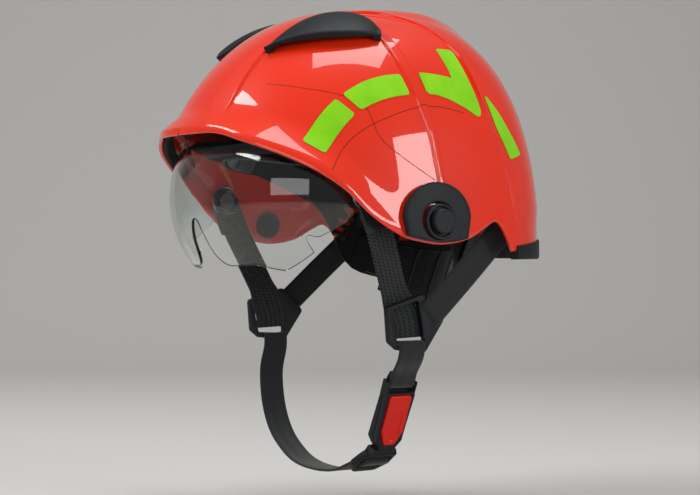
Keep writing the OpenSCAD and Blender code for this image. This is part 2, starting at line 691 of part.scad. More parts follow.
module visor_rim() {
    rim = 0.9;
    inner = [for (p = lens_profile(-visor_wall - rim)) if (abs(p[1]) < visor_half_w * 0.86) p];
    outer = [for (p = lens_profile(rim)) if (abs(p[1]) < visor_half_w * 0.88) p];
    color(black) about_pivot(visor_top, visor_rim_angle, concat(outer, flip(inner)));
}

// Pivot brackets: a round base on the shell's inner wall, with a tab below that carries the front strap
bracket_r = 9;
bracket_tab = 25;
front_strap_lean = 23;
bracket_wall_x = min([
    for (a = [0:30:330])
        let (y = pivot_y + bracket_r * cos(a), z = pivot_z + bracket_r * sin(a))
        wall_x(y, z, -shell_wall) + flare([0, y, z])
]) - seat_gap;
bracket_in = visor_half_w + 0.4;
tab_in = bracket_in + 0.6;
tab_t = 2.6;
pin_head_r = 6;
pin_head_t = 2;
module at_pivot(side, x, turn = 0) on_side(side) translate([x, pivot_y, pivot_z]) rotate([0, 90, 0])
    rotate([0, 0, turn]) children();
module visor_bracket(side) {
    color(black)
        difference() {
            union() {
                at_pivot(side, bracket_in) cylinder(r = bracket_r, h = bracket_wall_x - bracket_in);
                at_pivot(side, tab_in, front_strap_lean)
                    linear_extrude(height = tab_t)
                        polygon(rounded([[2, -web_w / 2 - 1], [bracket_tab, -web_w / 2 - 1],
                            [bracket_tab, web_w / 2 + 1], [2, web_w / 2 + 1]], 1.5));
            }
            at_pivot(side, bracket_in - 1) cylinder(r = pin_r + 0.02, h = 20);
        }
}
module visor_pin(side) {
    reach_in = hub_in - slide_gap;
    color(steel)
        at_pivot(side, reach_in - pin_head_t)
            union() {
                cylinder(r = pin_r, h = bracket_wall_x - reach_in + pin_head_t);
                difference() {
                    cylinder(r = pin_head_r, h = pin_head_t);
                    translate([0, 0, -0.1]) cylinder(r = 2.2, h = 1.1, $fn = 6);
                }
            }
}

// The headband's frame: z up out of its plane, y to the nape. Angles run from the nape towards the left ear.
module band_frame() translate([0, band_y, band_z]) rotate([-band_tilt, 0, 0]) children();
function band_xy(a, grow = 0) = [(band_r + grow) * sin(a), ((cos(a) > 0 ? band_r : band_front) + grow) * cos(a)];
function band_world(p) = [
    p[0],
    band_y + p[1] * cos(band_tilt) + p[2] * sin(band_tilt),
    band_z - p[1] * sin(band_tilt) + p[2] * cos(band_tilt)
];
function band_point(a, grow, z) = let (p = band_xy(a, grow)) band_world([p[0], p[1], z]);
function arc_strip(from, to, low, high, steps) = concat(
    [for (i = [0:steps]) band_xy(mix(from, to, i / steps), high)],
    [for (i = [steps:-1:0]) band_xy(mix(from, to, i / steps), low)]
);
// A round strip behind the ears, from one angle to another, with the outline given as radius growth and height
module nape_arc(from, to, outline) {
    rotate([0, 0, 90 - to]) rotate_extrude(angle = to - from, $fn = 120) polygon([for (p = outline) [band_r + p[0], p[1]]]);
}
function strip_box(low, high, bottom, top) = [[low, bottom], [high, bottom], [high, top], [low, top]];

// The band drops steeply behind the ears: its lower and upper edges as angle from the nape and height
band_end = 46;
band_low = curve([
    [band_end, -band_w / 2], [61, -band_w / 2], [71, -7], [81, 8], [94, 21], [104, 27], [114, 27], [129, 15], [152, 6],
    [180, 4]
], 4);
band_high = curve([
    [band_end, band_w / 2], [61, band_w / 2 + 1], [71, 21], [81, 31], [94, 41], [104, 45], [114, 44], [129, 38],
    [152, 32], [180, 30]
], 4);
function band_height(a, v) =
    let (b = abs(a), c = b > 180 ? 360 - b : b) mix(lookup(c, band_low), lookup(c, band_high), v);
// A length of the band, between two angles and two growths of its radius
module band_sheet(from, to, low, high, margin, steps) {
    angles = [for (i = [steps:-1:0]) mix(from, to, i / steps)];
    vs = [for (j = [0:3]) mix(margin, 1 - margin, j / 3)];
    sheet_solid(
        [for (v = vs) [for (a = angles) band_point(a, high, band_height(a, v))]],
        [for (v = vs) [for (a = angles) band_point(a, low, band_height(a, v))]]
    );
}
slot_w = 10;
slot_h = 3.5;
slot_turn = 75;
module headband() {
    color(black)
        difference() {
            band_sheet(band_end, 360 - band_end, 0, band_t, 0, 50);
            band_frame()
                for (side = [1, -1])
                    for (v = [0.25, 0.5, 0.75])
                        rotate([0, 0, -side * slot_turn])
                            translate([0, band_r, band_height(slot_turn, v)]) cube([slot_w, 20, slot_h], center = true);
        }
}
brow_pad_t = 6;
brow_pad_turn = 132;
module brow_pad() {
    color(foam) band_sheet(brow_pad_turn, 360 - brow_pad_turn, -seat_gap - brow_pad_t, -seat_gap, 0.03, 18);
}

// Crown cradle: two webbing straps that cross under the crown and end on the headband
cradle_h = liner_in - 5.4;
cradle_w = 16;
cradle_t = 1.4;
cradle_grow = band_t + seat_gap + cradle_t / 2;
cradle_rear = 60;
cradle_front = 128;
cradle_steps = 9;
clip_at = 0.86;
clip_gap = 1.1;
clip_sink = 0.6;
clip_lift = 0.9;
cradle_foot = 2;
function cradle_xy(a, t) =
    let (foot = band_point(a, cradle_grow, band_height(a, 1) + cradle_foot)) mix([0, dome_y], [foot[0], foot[1]], t);
function cradle_fall(i) = 0.985 * (1 - pow(i / cradle_steps, 1.3));
// Like the liner, the cradle keeps inside the space that the visor sweeps
function cradle_point(p, h) =
    clear_of_visor(place(unit_xy(p[0], p[1], cradle_h), h), sweep_gap + sweep_liner + liner_in - h, 12);
function cradle_half(a, sink) = concat(
    [band_point(a, cradle_grow, band_height(a, 0.2)), band_point(a, cradle_grow, band_height(a, 1) + cradle_foot)],
    [for (i = [1:cradle_steps]) cradle_point(cradle_xy(a, cradle_fall(i)), cradle_h) - [0, 0, sink]]
);
// The strap's width lies along the band at its foot, and along the dome above
function cradle_across(a) =
    let (along = unit(band_point(a + 1, 0, 0) - band_point(a - 1, 0, 0)), foot = band_point(a, 0, 0))
    let (level = unit([dome_y - foot[1], foot[0]]), side = level * sign(level[0] * along[0] + level[1] * along[1]) * 5)
    [
        for (i = [0:cradle_steps + 1])
            let (c = cradle_xy(a, cradle_fall(i - 1)), p = c + side, q = c - side)
            i < 2 ? along : cradle_point(p, cradle_h) - cradle_point(q, cradle_h)
    ];
module cradle_strap(a, b, sink) {
    first = cradle_half(a, sink);
    second = cradle_half(b, sink);
    back = [for (v = cradle_across(b)) -v];
    n = len(first) - 1;
    webbing(
        concat(first, [for (i = [n - 1:-1:0]) second[i]]),
        concat(cradle_across(a), [for (i = [n - 1:-1:0]) back[i]]), cradle_w, cradle_t
    );
}
module crown_cradle() {
    color(web) {
        cradle_strap(cradle_rear, -cradle_front, 0);
        cradle_strap(-cradle_rear, cradle_front, cradle_t + seat_gap);
    }
}
module cradle_clips() {
    half = 6;
    function sheet(c, u, v, h) = [for (i = [1, -1]) [for (j = [-1, 1]) cradle_point(c + v * j + u * i, h)]];
    color(black)
        for (a = [cradle_rear, cradle_front, -cradle_rear, -cradle_front])
            let (c = cradle_xy(a, clip_at), u = unit(c - [0, dome_y]) * half, v = [-u[1], u[0]])
            sheet_solid(sheet(c, u, v, liner_in - clip_gap - clip_sink),
                sheet(c, u, v, cradle_h + cradle_t / 2 + clip_gap + clip_lift));
}

// Size adjuster. Two curved racks slide between the nape cradle and the headband, above and below one pinion.
rack_t = 1.9;
rack_out = -slide_gap;
rack_in = rack_out - rack_t;
cradle_out = rack_in - slide_gap;
cradle_plate = 3;
rack_top = 12.6;
tooth_pitch = 2 * PI * pinion_r / pinion_teeth;
tooth_half = 0.58;
tooth_tip = 0.3;
tooth_root = 1.08;
tooth_up = 0.7;
tooth_down = 1.1;
rack_mid_r = band_r + (rack_in + rack_out) / 2;
tooth_angle = tooth_pitch / rack_mid_r * 180 / PI;
rack_travel = wheel_turn * pinion_r / rack_mid_r;
rack_teeth = 7;
rack_tip = (rack_teeth + 0.6) * tooth_angle;
rack_full = rack_tip + 2 * rack_travel + 2;
rack_end = band_end + rack_travel + 6;
module rack_tooth(k) {
    root = pinion_r + tooth_down + 0.3;
    tip = pinion_r - tooth_up;
    rotate([0, 0, -k * tooth_angle])
        translate([0, band_r + rack_in + 0.15, 0])
            rotate([90, 0, 0])
                mirror([0, 0, 1])
                    linear_extrude(height = rack_t - 0.3)
                        polygon([
                            [-tooth_root, root], [-tooth_half, pinion_r], [-tooth_tip, tip],
                            [tooth_tip, tip], [tooth_half, pinion_r], [tooth_root, root]
                        ]);
}
module upper_rack() {
    difference() {
        nape_arc(-rack_tip, rack_end, strip_box(rack_in, rack_out, -rack_top, rack_top));
        nape_arc(-rack_tip - 3, rack_full, strip_box(rack_in - 2, rack_out + 2, -rack_top - 1, pinion_r + tooth_down));
    }
    for (k = [-rack_teeth:rack_teeth]) rack_tooth(k);
}
module band_rack(side) {
    color(grey)
        band_frame()
            if (side > 0) upper_rack();
            else rotate([0, 180, 0]) upper_rack();
}

// Pinion teeth are straight-flanked, with the same clearance as the racks
function pinion_outline() = [
    for (k = [0:pinion_teeth - 1])
        let (a = 360 * (k + 0.5) / pinion_teeth)
        for (p = [[-1.05, pinion_r - tooth_down - 0.1], [-tooth_half, pinion_r], [-0.26, pinion_r + tooth_up],
                  [0.26, pinion_r + tooth_up], [tooth_half, pinion_r], [1.05, pinion_r - tooth_down - 0.1]])
            [p[1] * cos(a) - p[0] * sin(a), p[1] * sin(a) + p[0] * cos(a)]
];
shaft_r = 3;
cover_wall_t = 2.4;
boss_r = 8;
boss_h = 2;
wheel_face = band_r + cover_wall_t + boss_h + slide_gap;
module along_nape(y) translate([0, y, 0]) rotate([-90, 0, 0]) children();
module size_pinion() {
    color(steel)
        band_frame() {
            along_nape(band_r + rack_in + 0.1) linear_extrude(height = rack_t - 0.4) polygon(pinion_outline());
            along_nape(band_r + rack_in + 0.1) cylinder(r = shaft_r, h = wheel_face + wheel_t / 2 - band_r - rack_in);
        }
}
grip_count = 18;
grip_r = 1.5;
module size_wheel() {
    color(black)
        band_frame()
            along_nape(wheel_face)
                difference() {
                    rotate_extrude()
                        polygon([[0, 0], [wheel_r - 3, 0], [wheel_r - 0.8, 1.2], [wheel_r, 2], [wheel_r, wheel_t - 1.6],
                            [wheel_r - 1.2, wheel_t - 0.3], [wheel_r - 4, wheel_t], [wheel_r - 6, wheel_t - 1],
                            [0, wheel_t - 1]]);
                    translate([0, 0, -1]) cylinder(r = shaft_r + 0.02, h = wheel_t / 2 + 1.2);
                    for (i = [0:grip_count - 1])
                        rotate([0, 0, 360 * i / grip_count])
                            translate([wheel_r + 0.6, 0, -1]) cylinder(r = grip_r, h = wheel_t + 2, $fn = 24);
                }
}
cover_turn = 33;
module ratchet_cover() {
    rail = rack_top + slide_gap;
    color(black)
        band_frame()
            difference() {
                union() {
                    nape_arc(-cover_turn, cover_turn, [
                        [cradle_out + seat_gap, -rail - 2.6], [cover_wall_t, -rail - 2.6], [cover_wall_t, rail + 2.6],
                        [cradle_out + seat_gap, rail + 2.6], [cradle_out + seat_gap, rail], [0, rail], [0, -rail],
                        [cradle_out + seat_gap, -rail]
                    ]);
                    along_nape(band_r + cover_wall_t - 0.6) cylinder(r = boss_r, h = boss_h + 0.6);
                }
                along_nape(band_r - 5) cylinder(r = shaft_r + turn_gap, h = 20);
            }
}
nape_drop = 16;
lip_step = 0.3;
module nape_cradle() {
    side_turn = band_end + 8;
    color(black)
        band_frame()
            difference() {
                union() {
                    nape_arc(-side_turn, side_turn, strip_box(cradle_out - cradle_plate, cradle_out, -rack_top - 2, rack_top + 2));
                    nape_arc(-cover_turn + 3, cover_turn - 3,
                        strip_box(cradle_out - cradle_plate + lip_step, cradle_out - lip_step, -rack_top - 2 - nape_drop, -rack_top));
                }
                for (side = [1, -1])
                    for (a = [11, 22])
                        rotate([0, 0, -side * a])
                            translate([0, band_r, -rack_top - 2 - nape_drop / 2]) cube([8, 30, 8], center = true);
            }
}
nape_pad_t = 7;
module nape_pad() {
    color(foam)
        band_frame()
            nape_arc(-42, 42, strip_box(cradle_out - cradle_plate - seat_gap - nape_pad_t,
                cradle_out - cradle_plate - seat_gap, -rack_top - nape_drop, rack_top));
}
nape_arm_a = 45;
nape_arm_w = 13;
nape_arm_t = 2.4;
module nape_arm(side) {
    foot = band_point(nape_arm_a, cradle_out - cradle_plate / 2, rack_top + 2 + seat_gap);
    up = band_world([0, 0, 12]) - band_world([0, 0, 0]);
    head_y = foot[1] + 4;
    head_h = (liner_in + liner_out) / 2 - 4;
    head = [wall_x(head_y, liner_edge_z(head_y), head_h), head_y, liner_low(head_y, head_h - nape_arm_w / 2) - 2 * seat_gap];
    along = band_point(nape_arm_a + 1, 0, 0) - band_point(nape_arm_a - 1, 0, 0);
    on_side(side)
        color(black)
            webbing(
                concat([foot], [for (i = [0:8]) cubic(foot + up / 4, foot + up, head - [0, 0, 14], head, i / 8)]),
                along, nape_arm_w, nape_arm_t
            );
}

// Harness. Webbing lies against the inner faces of the plates that it is sewn round.
yoke_y = -9;
yoke_in = yoke_x - yoke_t / 2 - seat_gap - web_t / 2;
anchor_y = 79;
anchor_z = 19;
anchor_w = 12;
rear_top = [yoke_x - 2, anchor_y, anchor_z];
rear_foot = [yoke_in, yoke_y + 16.5, yoke_z + 6.5];
rear_fall = unit([rear_foot[1] - rear_top[1], rear_foot[2] - rear_top[2]]);
anchor_out = min([
    for (i = [-1, 1])
        for (j = [-1, 1])
            let (v = rear_fall * anchor_w / 2 * i + [-rear_fall[1], rear_fall[0]] * web_w / 2 * j)
            wall_x(anchor_y + v[0], max(anchor_z + v[1], dome_z), -shell_wall)
]) - seat_gap;
module rear_anchor(side) {
    base = rear_top[0] + web_t / 2 + seat_gap;
    turn = atan2(rear_fall[1], rear_fall[0]);
    on_side(side)
        color(black)
            translate([base, anchor_y, anchor_z])
                rotate([90, 0, 90])
                    rotate([0, 0, turn])
                        linear_extrude(height = anchor_out - base)
                            polygon(rounded(box_outline(anchor_w, web_w + 2), 2));
}
module rear_strap(side) {
    across = [0, -rear_fall[1], rear_fall[0]];
    start = rear_top - [0, rear_fall[0], rear_fall[1]] * anchor_w / 2;
    bow = mix(rear_top, rear_foot, 0.55) + [2.5, 0, 0];
    near = mix(rear_top, rear_foot, 0.86) + [0.3, 0, 0];
    on_side(side) color(web) webbing(concat([start], curve([rear_top, bow, near, rear_foot], 2)), across);
}
front_fall = [sin(front_strap_lean), -cos(front_strap_lean)];
function front_at(d, x) = [x, pivot_y + front_fall[0] * d, pivot_z + front_fall[1] * d];
module front_strap(side) {
    across = [0, -front_fall[1], front_fall[0]];
    top_x = tab_in - seat_gap - web_t / 2;
    yoke_d = (pivot_z - yoke_z - 12) / cos(front_strap_lean);
    route = [
        front_at(hub_r + 3, top_x), front_at(bracket_tab + 1, top_x), front_at(yoke_d * 0.55, mix(top_x, yoke_in, 0.4)),
        front_at(yoke_d * 0.86, yoke_in + 0.4), front_at(yoke_d, yoke_in), front_at(yoke_d + 25, yoke_in)
    ];
    on_side(side) color(web) webbing(curve(route, 2), across);
}
yoke_outline = [[-22, 11], [9, 20], [27.5, 2], [11, -21], [-13, -18.5], [-20, -13]];
yoke_window = [[-15.5, 9.5], [4.5, 15], [9.5, -12], [-10.5, -11.5]];
yoke_slot = [[14.5, 9], [21.5, 1.5], [18.5, -1.5], [11.5, 6]];
module yoke(side) {
    on_side(side)
        color(black)
            translate([yoke_x - yoke_t / 2, yoke_y, yoke_z])
                rotate([90, 0, 90])
                    difference() {
                        linear_extrude(height = yoke_t) polygon(rounded(yoke_outline, 3));
                        translate([0, 0, -1]) linear_extrude(height = yoke_t + 2) polygon(rounded(yoke_window, 2));
                        translate([0, 0, yoke_t - 1.5]) linear_extrude(height = yoke_t) polygon(rounded(yoke_slot, 1));
                    }
}

// Buckle, in its own frame: x out of its face, z up its length. The tongue's bars lean further under the chin.
buckle_pos = [72.5, -10, -116];
frame_lean = 35;
frame_drop = buckle_l / 2 + 4;
function lean(p, a) = [p[0] * cos(a) + p[2] * sin(a), p[1], p[2] * cos(a) - p[0] * sin(a)];
function buckle_world(p) = buckle_pos + lean(p, buckle_lean);
function frame_world(p) = buckle_world([0, 0, -frame_drop] + lean(p, frame_lean));
module buckle_frame() translate(buckle_pos) rotate([0, buckle_lean, 0]) children();
module face_extrude(from, to) translate([from, 0, 0]) rotate([90, 0, 90]) linear_extrude(height = to - from) children();
strap_slot = 8;
button_z = -3;
button_gap = 0.3;
pocket_floor = 1;
button_back = pocket_floor + button_travel + 0.3;
button_out = 1.2;
prong_w = 13;
prong_t = 3;
prong_l = 24;
prong_x = -2.8;
spring_r = 2.6;
spring_wire = 0.35;
spring_z = 14;
spring_floor = -2.8;
function button_outline(grow) =
    let (w = button_w / 2 + grow, l = button_l / 2 + grow)
    [[w, l], [-w, l], [-w, -l * 0.45], [-w * 0.5, -l], [w * 0.5, -l], [w, -l * 0.45]];
module buckle_housing() {
    low = -buckle_l / 2;
    high = buckle_l / 2;
    color(black)
        buckle_frame()
            difference() {
                intersection() {
                    face_extrude(-buckle_t / 2, buckle_t / 2)
                        polygon(rounded([[-buckle_w / 2 + 1, low], [buckle_w / 2 - 1, low], [buckle_w / 2, high - 14],
                            [buckle_w / 2, high], [-buckle_w / 2, high], [-buckle_w / 2, high - 14]], 3));
                    translate([0, buckle_w, 0])
                        rotate([90, 0, 0])
                            linear_extrude(height = 2 * buckle_w)
                                polygon(rounded([[-buckle_t / 2 + 1, low - 1], [buckle_t / 2 - 1, low - 1],
                                    [buckle_t / 2, low + 6], [buckle_t / 2, high - 9], [buckle_t / 2 - 3, high + 1],
                                    [-buckle_t / 2 + 2, high + 1], [-buckle_t / 2, high - 9],
                                    [-buckle_t / 2, low + 6]], 1.5));
                }
                face_extrude(pocket_floor, buckle_t)
                    translate([0, button_z])
                        polygon(rounded(button_outline(button_gap), 2));
                translate([spring_floor, 0, spring_z]) rotate([0, 90, 0]) cylinder(r = spring_r + 0.9, h = buckle_t);
                translate([prong_x, 0, low + prong_l / 2])
                    cube([prong_t + 2 * slide_gap, prong_w + 2 * slide_gap, prong_l + 1], center = true);
                translate([0, 0, high - strap_slot / 2 + 1])
                    cube([web_t + 2 * slide_gap, web_w + 2 * slide_gap, strap_slot + 2], center = true);
            }
}
module buckle_button() {
    front = buckle_t / 2 + button_out;
    color(button_red)
        buckle_frame()
            difference() {
                face_extrude(button_back, front) translate([0, button_z]) polygon(rounded(button_outline(0), 2));
                face_extrude(front - 0.8, front + 1)
                    translate([0, button_z])
                        polygon(concat(
                            [for (a = [180:20:360]) [5.6 * cos(a), 5.6 * sin(a) - 7]],
                            [for (a = [0:-20:-180]) [3.6 * cos(a), 3.6 * sin(a) - 7]]
                        ));
            }
}
spring_turns = 4.5;
spring_steps = 10;
module button_spring() {
    from = spring_floor + spring_wire + 0.1;
    to = button_back - spring_wire - 0.1;
    n = ceil(spring_turns * spring_steps);
    color(steel)
        buckle_frame()
            translate([0, 0, spring_z])
                ring_solid([
                    for (i = [0:n])
                        let (a = 360 * spring_turns * i / n, x = mix(from, to, i / n))
                        [for (b = [300:-60:0])
                            let (r = spring_r + spring_wire * cos(b))
                            [x + spring_wire * sin(b), r * cos(a), r * sin(a)]]
                ]);
}
frame_w = 32;
frame_l = 29;
frame_t = 4;
bar_slot = 4.5;
module buckle_tongue() {
    low = -buckle_l / 2;
    color(black)
        buckle_frame()
            union() {
                translate([prong_x, 0, low + prong_l / 2 - 1.5]) cube([prong_t, prong_w, prong_l], center = true);
                face_extrude(-buckle_t / 2 + 0.5, buckle_t / 2 - 1)
                    polygon(rounded([[-buckle_w / 2 + 1, low - slide_gap], [-buckle_w / 2 + 1, low - 6],
                        [buckle_w / 2 - 1, low - 6], [buckle_w / 2 - 1, low - slide_gap]], 1));
                translate([0, 0, -frame_drop])
                    rotate([0, frame_lean, 0])
                        difference() {
                            face_extrude(-frame_t / 2, frame_t / 2)
                                polygon(rounded([[frame_w / 2 - 2, 0], [-frame_w / 2 + 2, 0], [-frame_w / 2, -frame_l * 0.6],
                                    [-frame_w * 0.3, -frame_l], [frame_w * 0.3, -frame_l], [frame_w / 2, -frame_l * 0.6]], 4));
                            for (z = [-8, -18])
                                translate([0, 0, z]) cube([frame_t + 4, web_w + 1, bar_slot], center = true);
                        }
            }
}
module buckle_strap() {
    first = [yoke_in, yoke_y + 1, yoke_z - 15];
    route = [first, first - [0.6, 0.2, 8], buckle_world([0, 0, buckle_l / 2 + 3]), buckle_world([0, 0, buckle_l / 2 - strap_slot + 1])];
    color(web) webbing(curve(route, 3), [0, 1, 0]);
}
chin_route = [
    [20, -14, -161], [5, -16, -163], [-10, -17, -163], [-25, -17.5, -161.5], [-39, -17.5, -158], [-54, -17, -151],
    [-67, -16.5, -142], [-78, -15.5, -129], [-86, -14, -113], [-90.5, -12, -95]
];
module chin_strap() {
    lie = -frame_t / 2 - seat_gap - web_t / 2;
    route = concat(
        [for (z = [-6.5, -14, -frame_l - 2]) frame_world([lie, 0, z])],
        chin_route,
        [[-yoke_in, yoke_y + 1, yoke_z - 26], [-yoke_in, yoke_y + 1, yoke_z - 15]]
    );
    color(web) webbing(curve(route, 3), [0, 1, 0]);
}

outer_shell();
impact_liner();
rear_edge_trim();
brow_seal();
vent_cover(1);  // vent_cover_left
vent_cover(-1);  // vent_cover_right
side_plate(1);  // side_plate_left
side_plate(-1);  // side_plate_right
side_port(1);  // side_port_left
side_port(-1);  // side_port_right
port_washer(1);  // port_washer_left
port_washer(-1);  // port_washer_right
reflective_strips(1);  // reflective_strips_left
reflective_strips(-1);  // reflective_strips_right
visor();
visor_rim();
visor_bracket(1);  // visor_bracket_left
visor_bracket(-1);  // visor_bracket_right
visor_pin(1);  // visor_pin_left
visor_pin(-1);  // visor_pin_right
headband();
brow_pad();
crown_cradle();
cradle_clips();
nape_cradle();
nape_pad();
nape_arm(1);  // nape_arm_left
nape_arm(-1);  // nape_arm_right
band_rack(1);  // band_rack_left
band_rack(-1);  // band_rack_right
size_pinion();
size_wheel();
ratchet_cover();
rear_anchor(1);  // rear_anchor_left
rear_anchor(-1);  // rear_anchor_right
front_strap(1);  // front_strap_left
front_strap(-1);  // front_strap_right
rear_strap(1);  // rear_strap_left
rear_strap(-1);  // rear_strap_right
yoke(1);  // yoke_left
yoke(-1);  // yoke_right
buckle_strap();
buckle_housing();
buckle_button();
button_spring();
buckle_tongue();
chin_strap();
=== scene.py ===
"""Surfaces and materials of a fire and rescue helmet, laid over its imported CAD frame.

Lengths in the functions are millimetres in the CAD's frame: x to the wearer's left, -y towards the brow, z up.
"""

import json
import math

import bpy
import numpy as np
from bpy.props import FloatProperty, IntProperty, PointerProperty, StringProperty
from bpy.types import Operator, Panel, PropertyGroup
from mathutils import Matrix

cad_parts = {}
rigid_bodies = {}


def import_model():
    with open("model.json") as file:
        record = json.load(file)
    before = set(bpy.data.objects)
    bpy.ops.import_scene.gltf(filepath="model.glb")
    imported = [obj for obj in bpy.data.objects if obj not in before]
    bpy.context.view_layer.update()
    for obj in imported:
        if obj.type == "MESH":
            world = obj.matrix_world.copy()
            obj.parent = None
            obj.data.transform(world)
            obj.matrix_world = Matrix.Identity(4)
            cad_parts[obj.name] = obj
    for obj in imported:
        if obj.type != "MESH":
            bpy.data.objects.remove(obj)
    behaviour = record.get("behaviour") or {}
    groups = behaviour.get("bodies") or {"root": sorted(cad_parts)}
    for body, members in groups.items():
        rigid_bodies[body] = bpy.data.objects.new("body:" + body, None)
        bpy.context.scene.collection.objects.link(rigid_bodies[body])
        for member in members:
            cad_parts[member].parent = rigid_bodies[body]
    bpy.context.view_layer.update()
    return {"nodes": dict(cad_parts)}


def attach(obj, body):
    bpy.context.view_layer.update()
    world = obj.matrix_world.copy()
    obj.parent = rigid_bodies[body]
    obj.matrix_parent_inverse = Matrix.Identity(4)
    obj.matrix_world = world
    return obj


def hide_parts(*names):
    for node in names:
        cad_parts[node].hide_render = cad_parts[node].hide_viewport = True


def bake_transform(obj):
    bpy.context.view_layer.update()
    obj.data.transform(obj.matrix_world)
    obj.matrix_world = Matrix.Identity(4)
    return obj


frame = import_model()

bl_info = {
    "name": "Rescue Helmet",
    "version": (1, 0, 0),
    "blender": (4, 5, 0),
    "location": "View3D > Sidebar > Helmet",
    "description": "Moulded shell, visor, headband and chin harness of a rescue helmet",
    "category": "Add Mesh",
}

MM = 0.001
SIDES = (("left", 1), ("right", -1))


# ---- numbers -------------------------------------------------------------------------------------------------

def clamp(v, low, high):
    """v kept between low and high."""
    return np.minimum(np.maximum(v, low), high)


def ramp(a, b, v):
    """Smooth step: 0 below a, 1 above b, and 3t^2 - 2t^3 between."""
    t = clamp((np.asarray(v, float) - a) / (b - a), 0, 1)
    return t * t * (3 - 2 * t)


def mix(a, b, t):
    """The point a share t of the way from a to b."""
    return a + (b - a) * t


def normed(v):
    """Vectors brought to length 1."""
    return v / np.linalg.norm(v, axis=-1, keepdims=True)


def stacked(*parts):
    """Coordinates brought to one shape and put together as points."""
    return np.stack(np.broadcast_arrays(*parts), axis=-1)


def full_turn(count):
    """Angles once round, without the last."""
    return np.linspace(0, 2 * math.pi, count, endpoint=False)


def run_along(points):
    """Arc length from a line's first point to each of its points."""
    return np.concatenate([[0], np.cumsum(np.linalg.norm(np.diff(points, axis=0), axis=1))])


def through(x, points):
    """A smooth line through points (x, y): on each interval a cubic with the averaged slopes of its ends."""
    xs, ys = np.array(points, float).T
    step = np.diff(xs)
    rise = np.diff(ys) / step
    slope = np.concatenate([rise[:1], (rise[1:] + rise[:-1]) / 2, rise[-1:]])
    slope[1:-1][rise[1:] * rise[:-1] <= 0] = 0
    x = clamp(np.asarray(x, float), xs[0], xs[-1])
    i = clamp(np.searchsorted(xs, x, side="right") - 1, 0, len(xs) - 2)
    d, t = step[i], (x - xs[i]) / step[i]
    return ((2 * t**3 - 3 * t**2 + 1) * ys[i] + (t**3 - 2 * t**2 + t) * d * slope[i]
            + (3 * t**2 - 2 * t**3) * ys[i + 1] + (t**3 - t**2) * d * slope[i + 1])


def curve(points, steps):
    """Catmull-Rom curve through 2D or 3D points, with equal steps of the parameter between each two."""
    p = np.array(points, float)
    p = np.vstack([p[:1], p, p[-1:]])
    t = np.linspace(0, 1, steps, endpoint=False)[:, None]
    parts = [
        (b * 2 + (c - a) * t + (a * 2 - b * 5 + c * 4 - d) * t**2 + (b * 3 - a - c * 3 + d) * t**3) / 2
        for a, b, c, d in zip(p[:-3], p[1:-2], p[2:-1], p[3:])
    ]
    return np.vstack(parts + [p[-1:]])


def evenly(points, count, closed=False):
    """The same line with count points at equal arc lengths."""
    p = np.asarray(points, float)
    if closed:
        p = np.vstack([p, p[:1]])
    run = run_along(p)
    at = np.linspace(0, run[-1], count, endpoint=not closed)
    return np.stack([np.interp(at, run, p[:, k]) for k in range(p.shape[1])], axis=1)


CORNER_STEPS = 6


def rounded(points, r):
    """Outline with every corner replaced by an arc of radius r that touches both of its sides."""
    p = np.array(points, float)
    out = []
    for a, b, c in zip(np.roll(p, 1, 0), p, np.roll(p, -1, 0)):
        u, v = normed(a - b), normed(c - b)
        half = math.acos(clamp(u @ v, -1, 1)) / 2
        centre = b + normed(u + v) * r / math.sin(half)
        first, last = b + u * r / math.tan(half) - centre, b + v * r / math.tan(half) - centre
        out += [centre + normed(mix(first, last, t)) * r for t in np.linspace(0, 1, CORNER_STEPS + 1)]
    return np.array(out)


# ---- meshes --------------------------------------------------------------------------------------------------

def surface(name, grids, wrap=True, wrap_rows=False, cap=True, uv=None, sharp=35):
    """A mesh of one or more grids of points: each grid's rows are joined in turn, and its columns closed where wrap
    is set. Its first and last rows are joined where wrap_rows is set, or else each closed by a fan to its mean where
    cap is set. uv holds (along, across) in mm."""
    grids = grids if isinstance(grids, list) else [grids]
    verts, faces, coords, base = [], [], [], 0
    for g in grids:
        rows, cols = g.shape[:2]
        r = np.arange(rows if wrap_rows else rows - 1)[:, None]
        c = np.arange(cols if wrap else cols - 1)[None, :]
        a, b = r * cols + c, r * cols + (c + 1) % cols
        d, e = ((r + 1) % rows) * cols + c, ((r + 1) % rows) * cols + (c + 1) % cols
        faces += (np.stack([a, d, e, b], axis=-1).reshape(-1, 4) + base).tolist()
        verts.append(g.reshape(-1, 3))
        if uv is not None:
            along, across = uv
            corners = ((r, c), (r + 1, c), (r + 1, c + 1), (r, c + 1))
            coords.append(np.stack([stacked(across[j], along[i]) for i, j in corners], 2))
        centre = base + rows * cols
        if cap and not wrap_rows:
            for row, last in ((0, False), (rows - 1, True)):
                edge = base + row * cols + np.arange(cols)
                pair = [np.roll(edge, -1), edge] if last else [edge, np.roll(edge, -1)]
                fan = np.stack(pair + [np.full(cols, centre)], 1)
                faces += fan.tolist()
                verts.append(g[row].mean(axis=0)[None, :])
                coords.append(np.zeros((len(fan) * 3, 2)))
                centre += 1
        base = centre
    points = np.vstack(verts) * MM
    mesh = bpy.data.meshes.new(name)
    mesh.from_pydata(points, [], faces)
    if uv is not None:
        layer = mesh.uv_layers.new(name="UVMap")
        pairs = np.vstack([k.reshape(-1, 2) for k in coords]) * MM
        layer.data.foreach_set("uv", pairs.astype(np.float32).ravel())
    mesh.validate()
    tri = np.empty(len(mesh.loop_triangles) * 3, np.int32)
    mesh.loop_triangles.foreach_get("vertices", tri)
    a, b, c = (points[tri[k::3]] for k in range(3))
    if np.einsum("ij,ij->", a, np.cross(b, c)) < 0:
        mesh.flip_normals()
    mesh.shade_smooth()
    mesh.set_sharp_from_angle(angle=math.radians(sharp))
    obj = bpy.data.objects.new(name, mesh)
    bpy.context.scene.collection.objects.link(obj)
    return obj


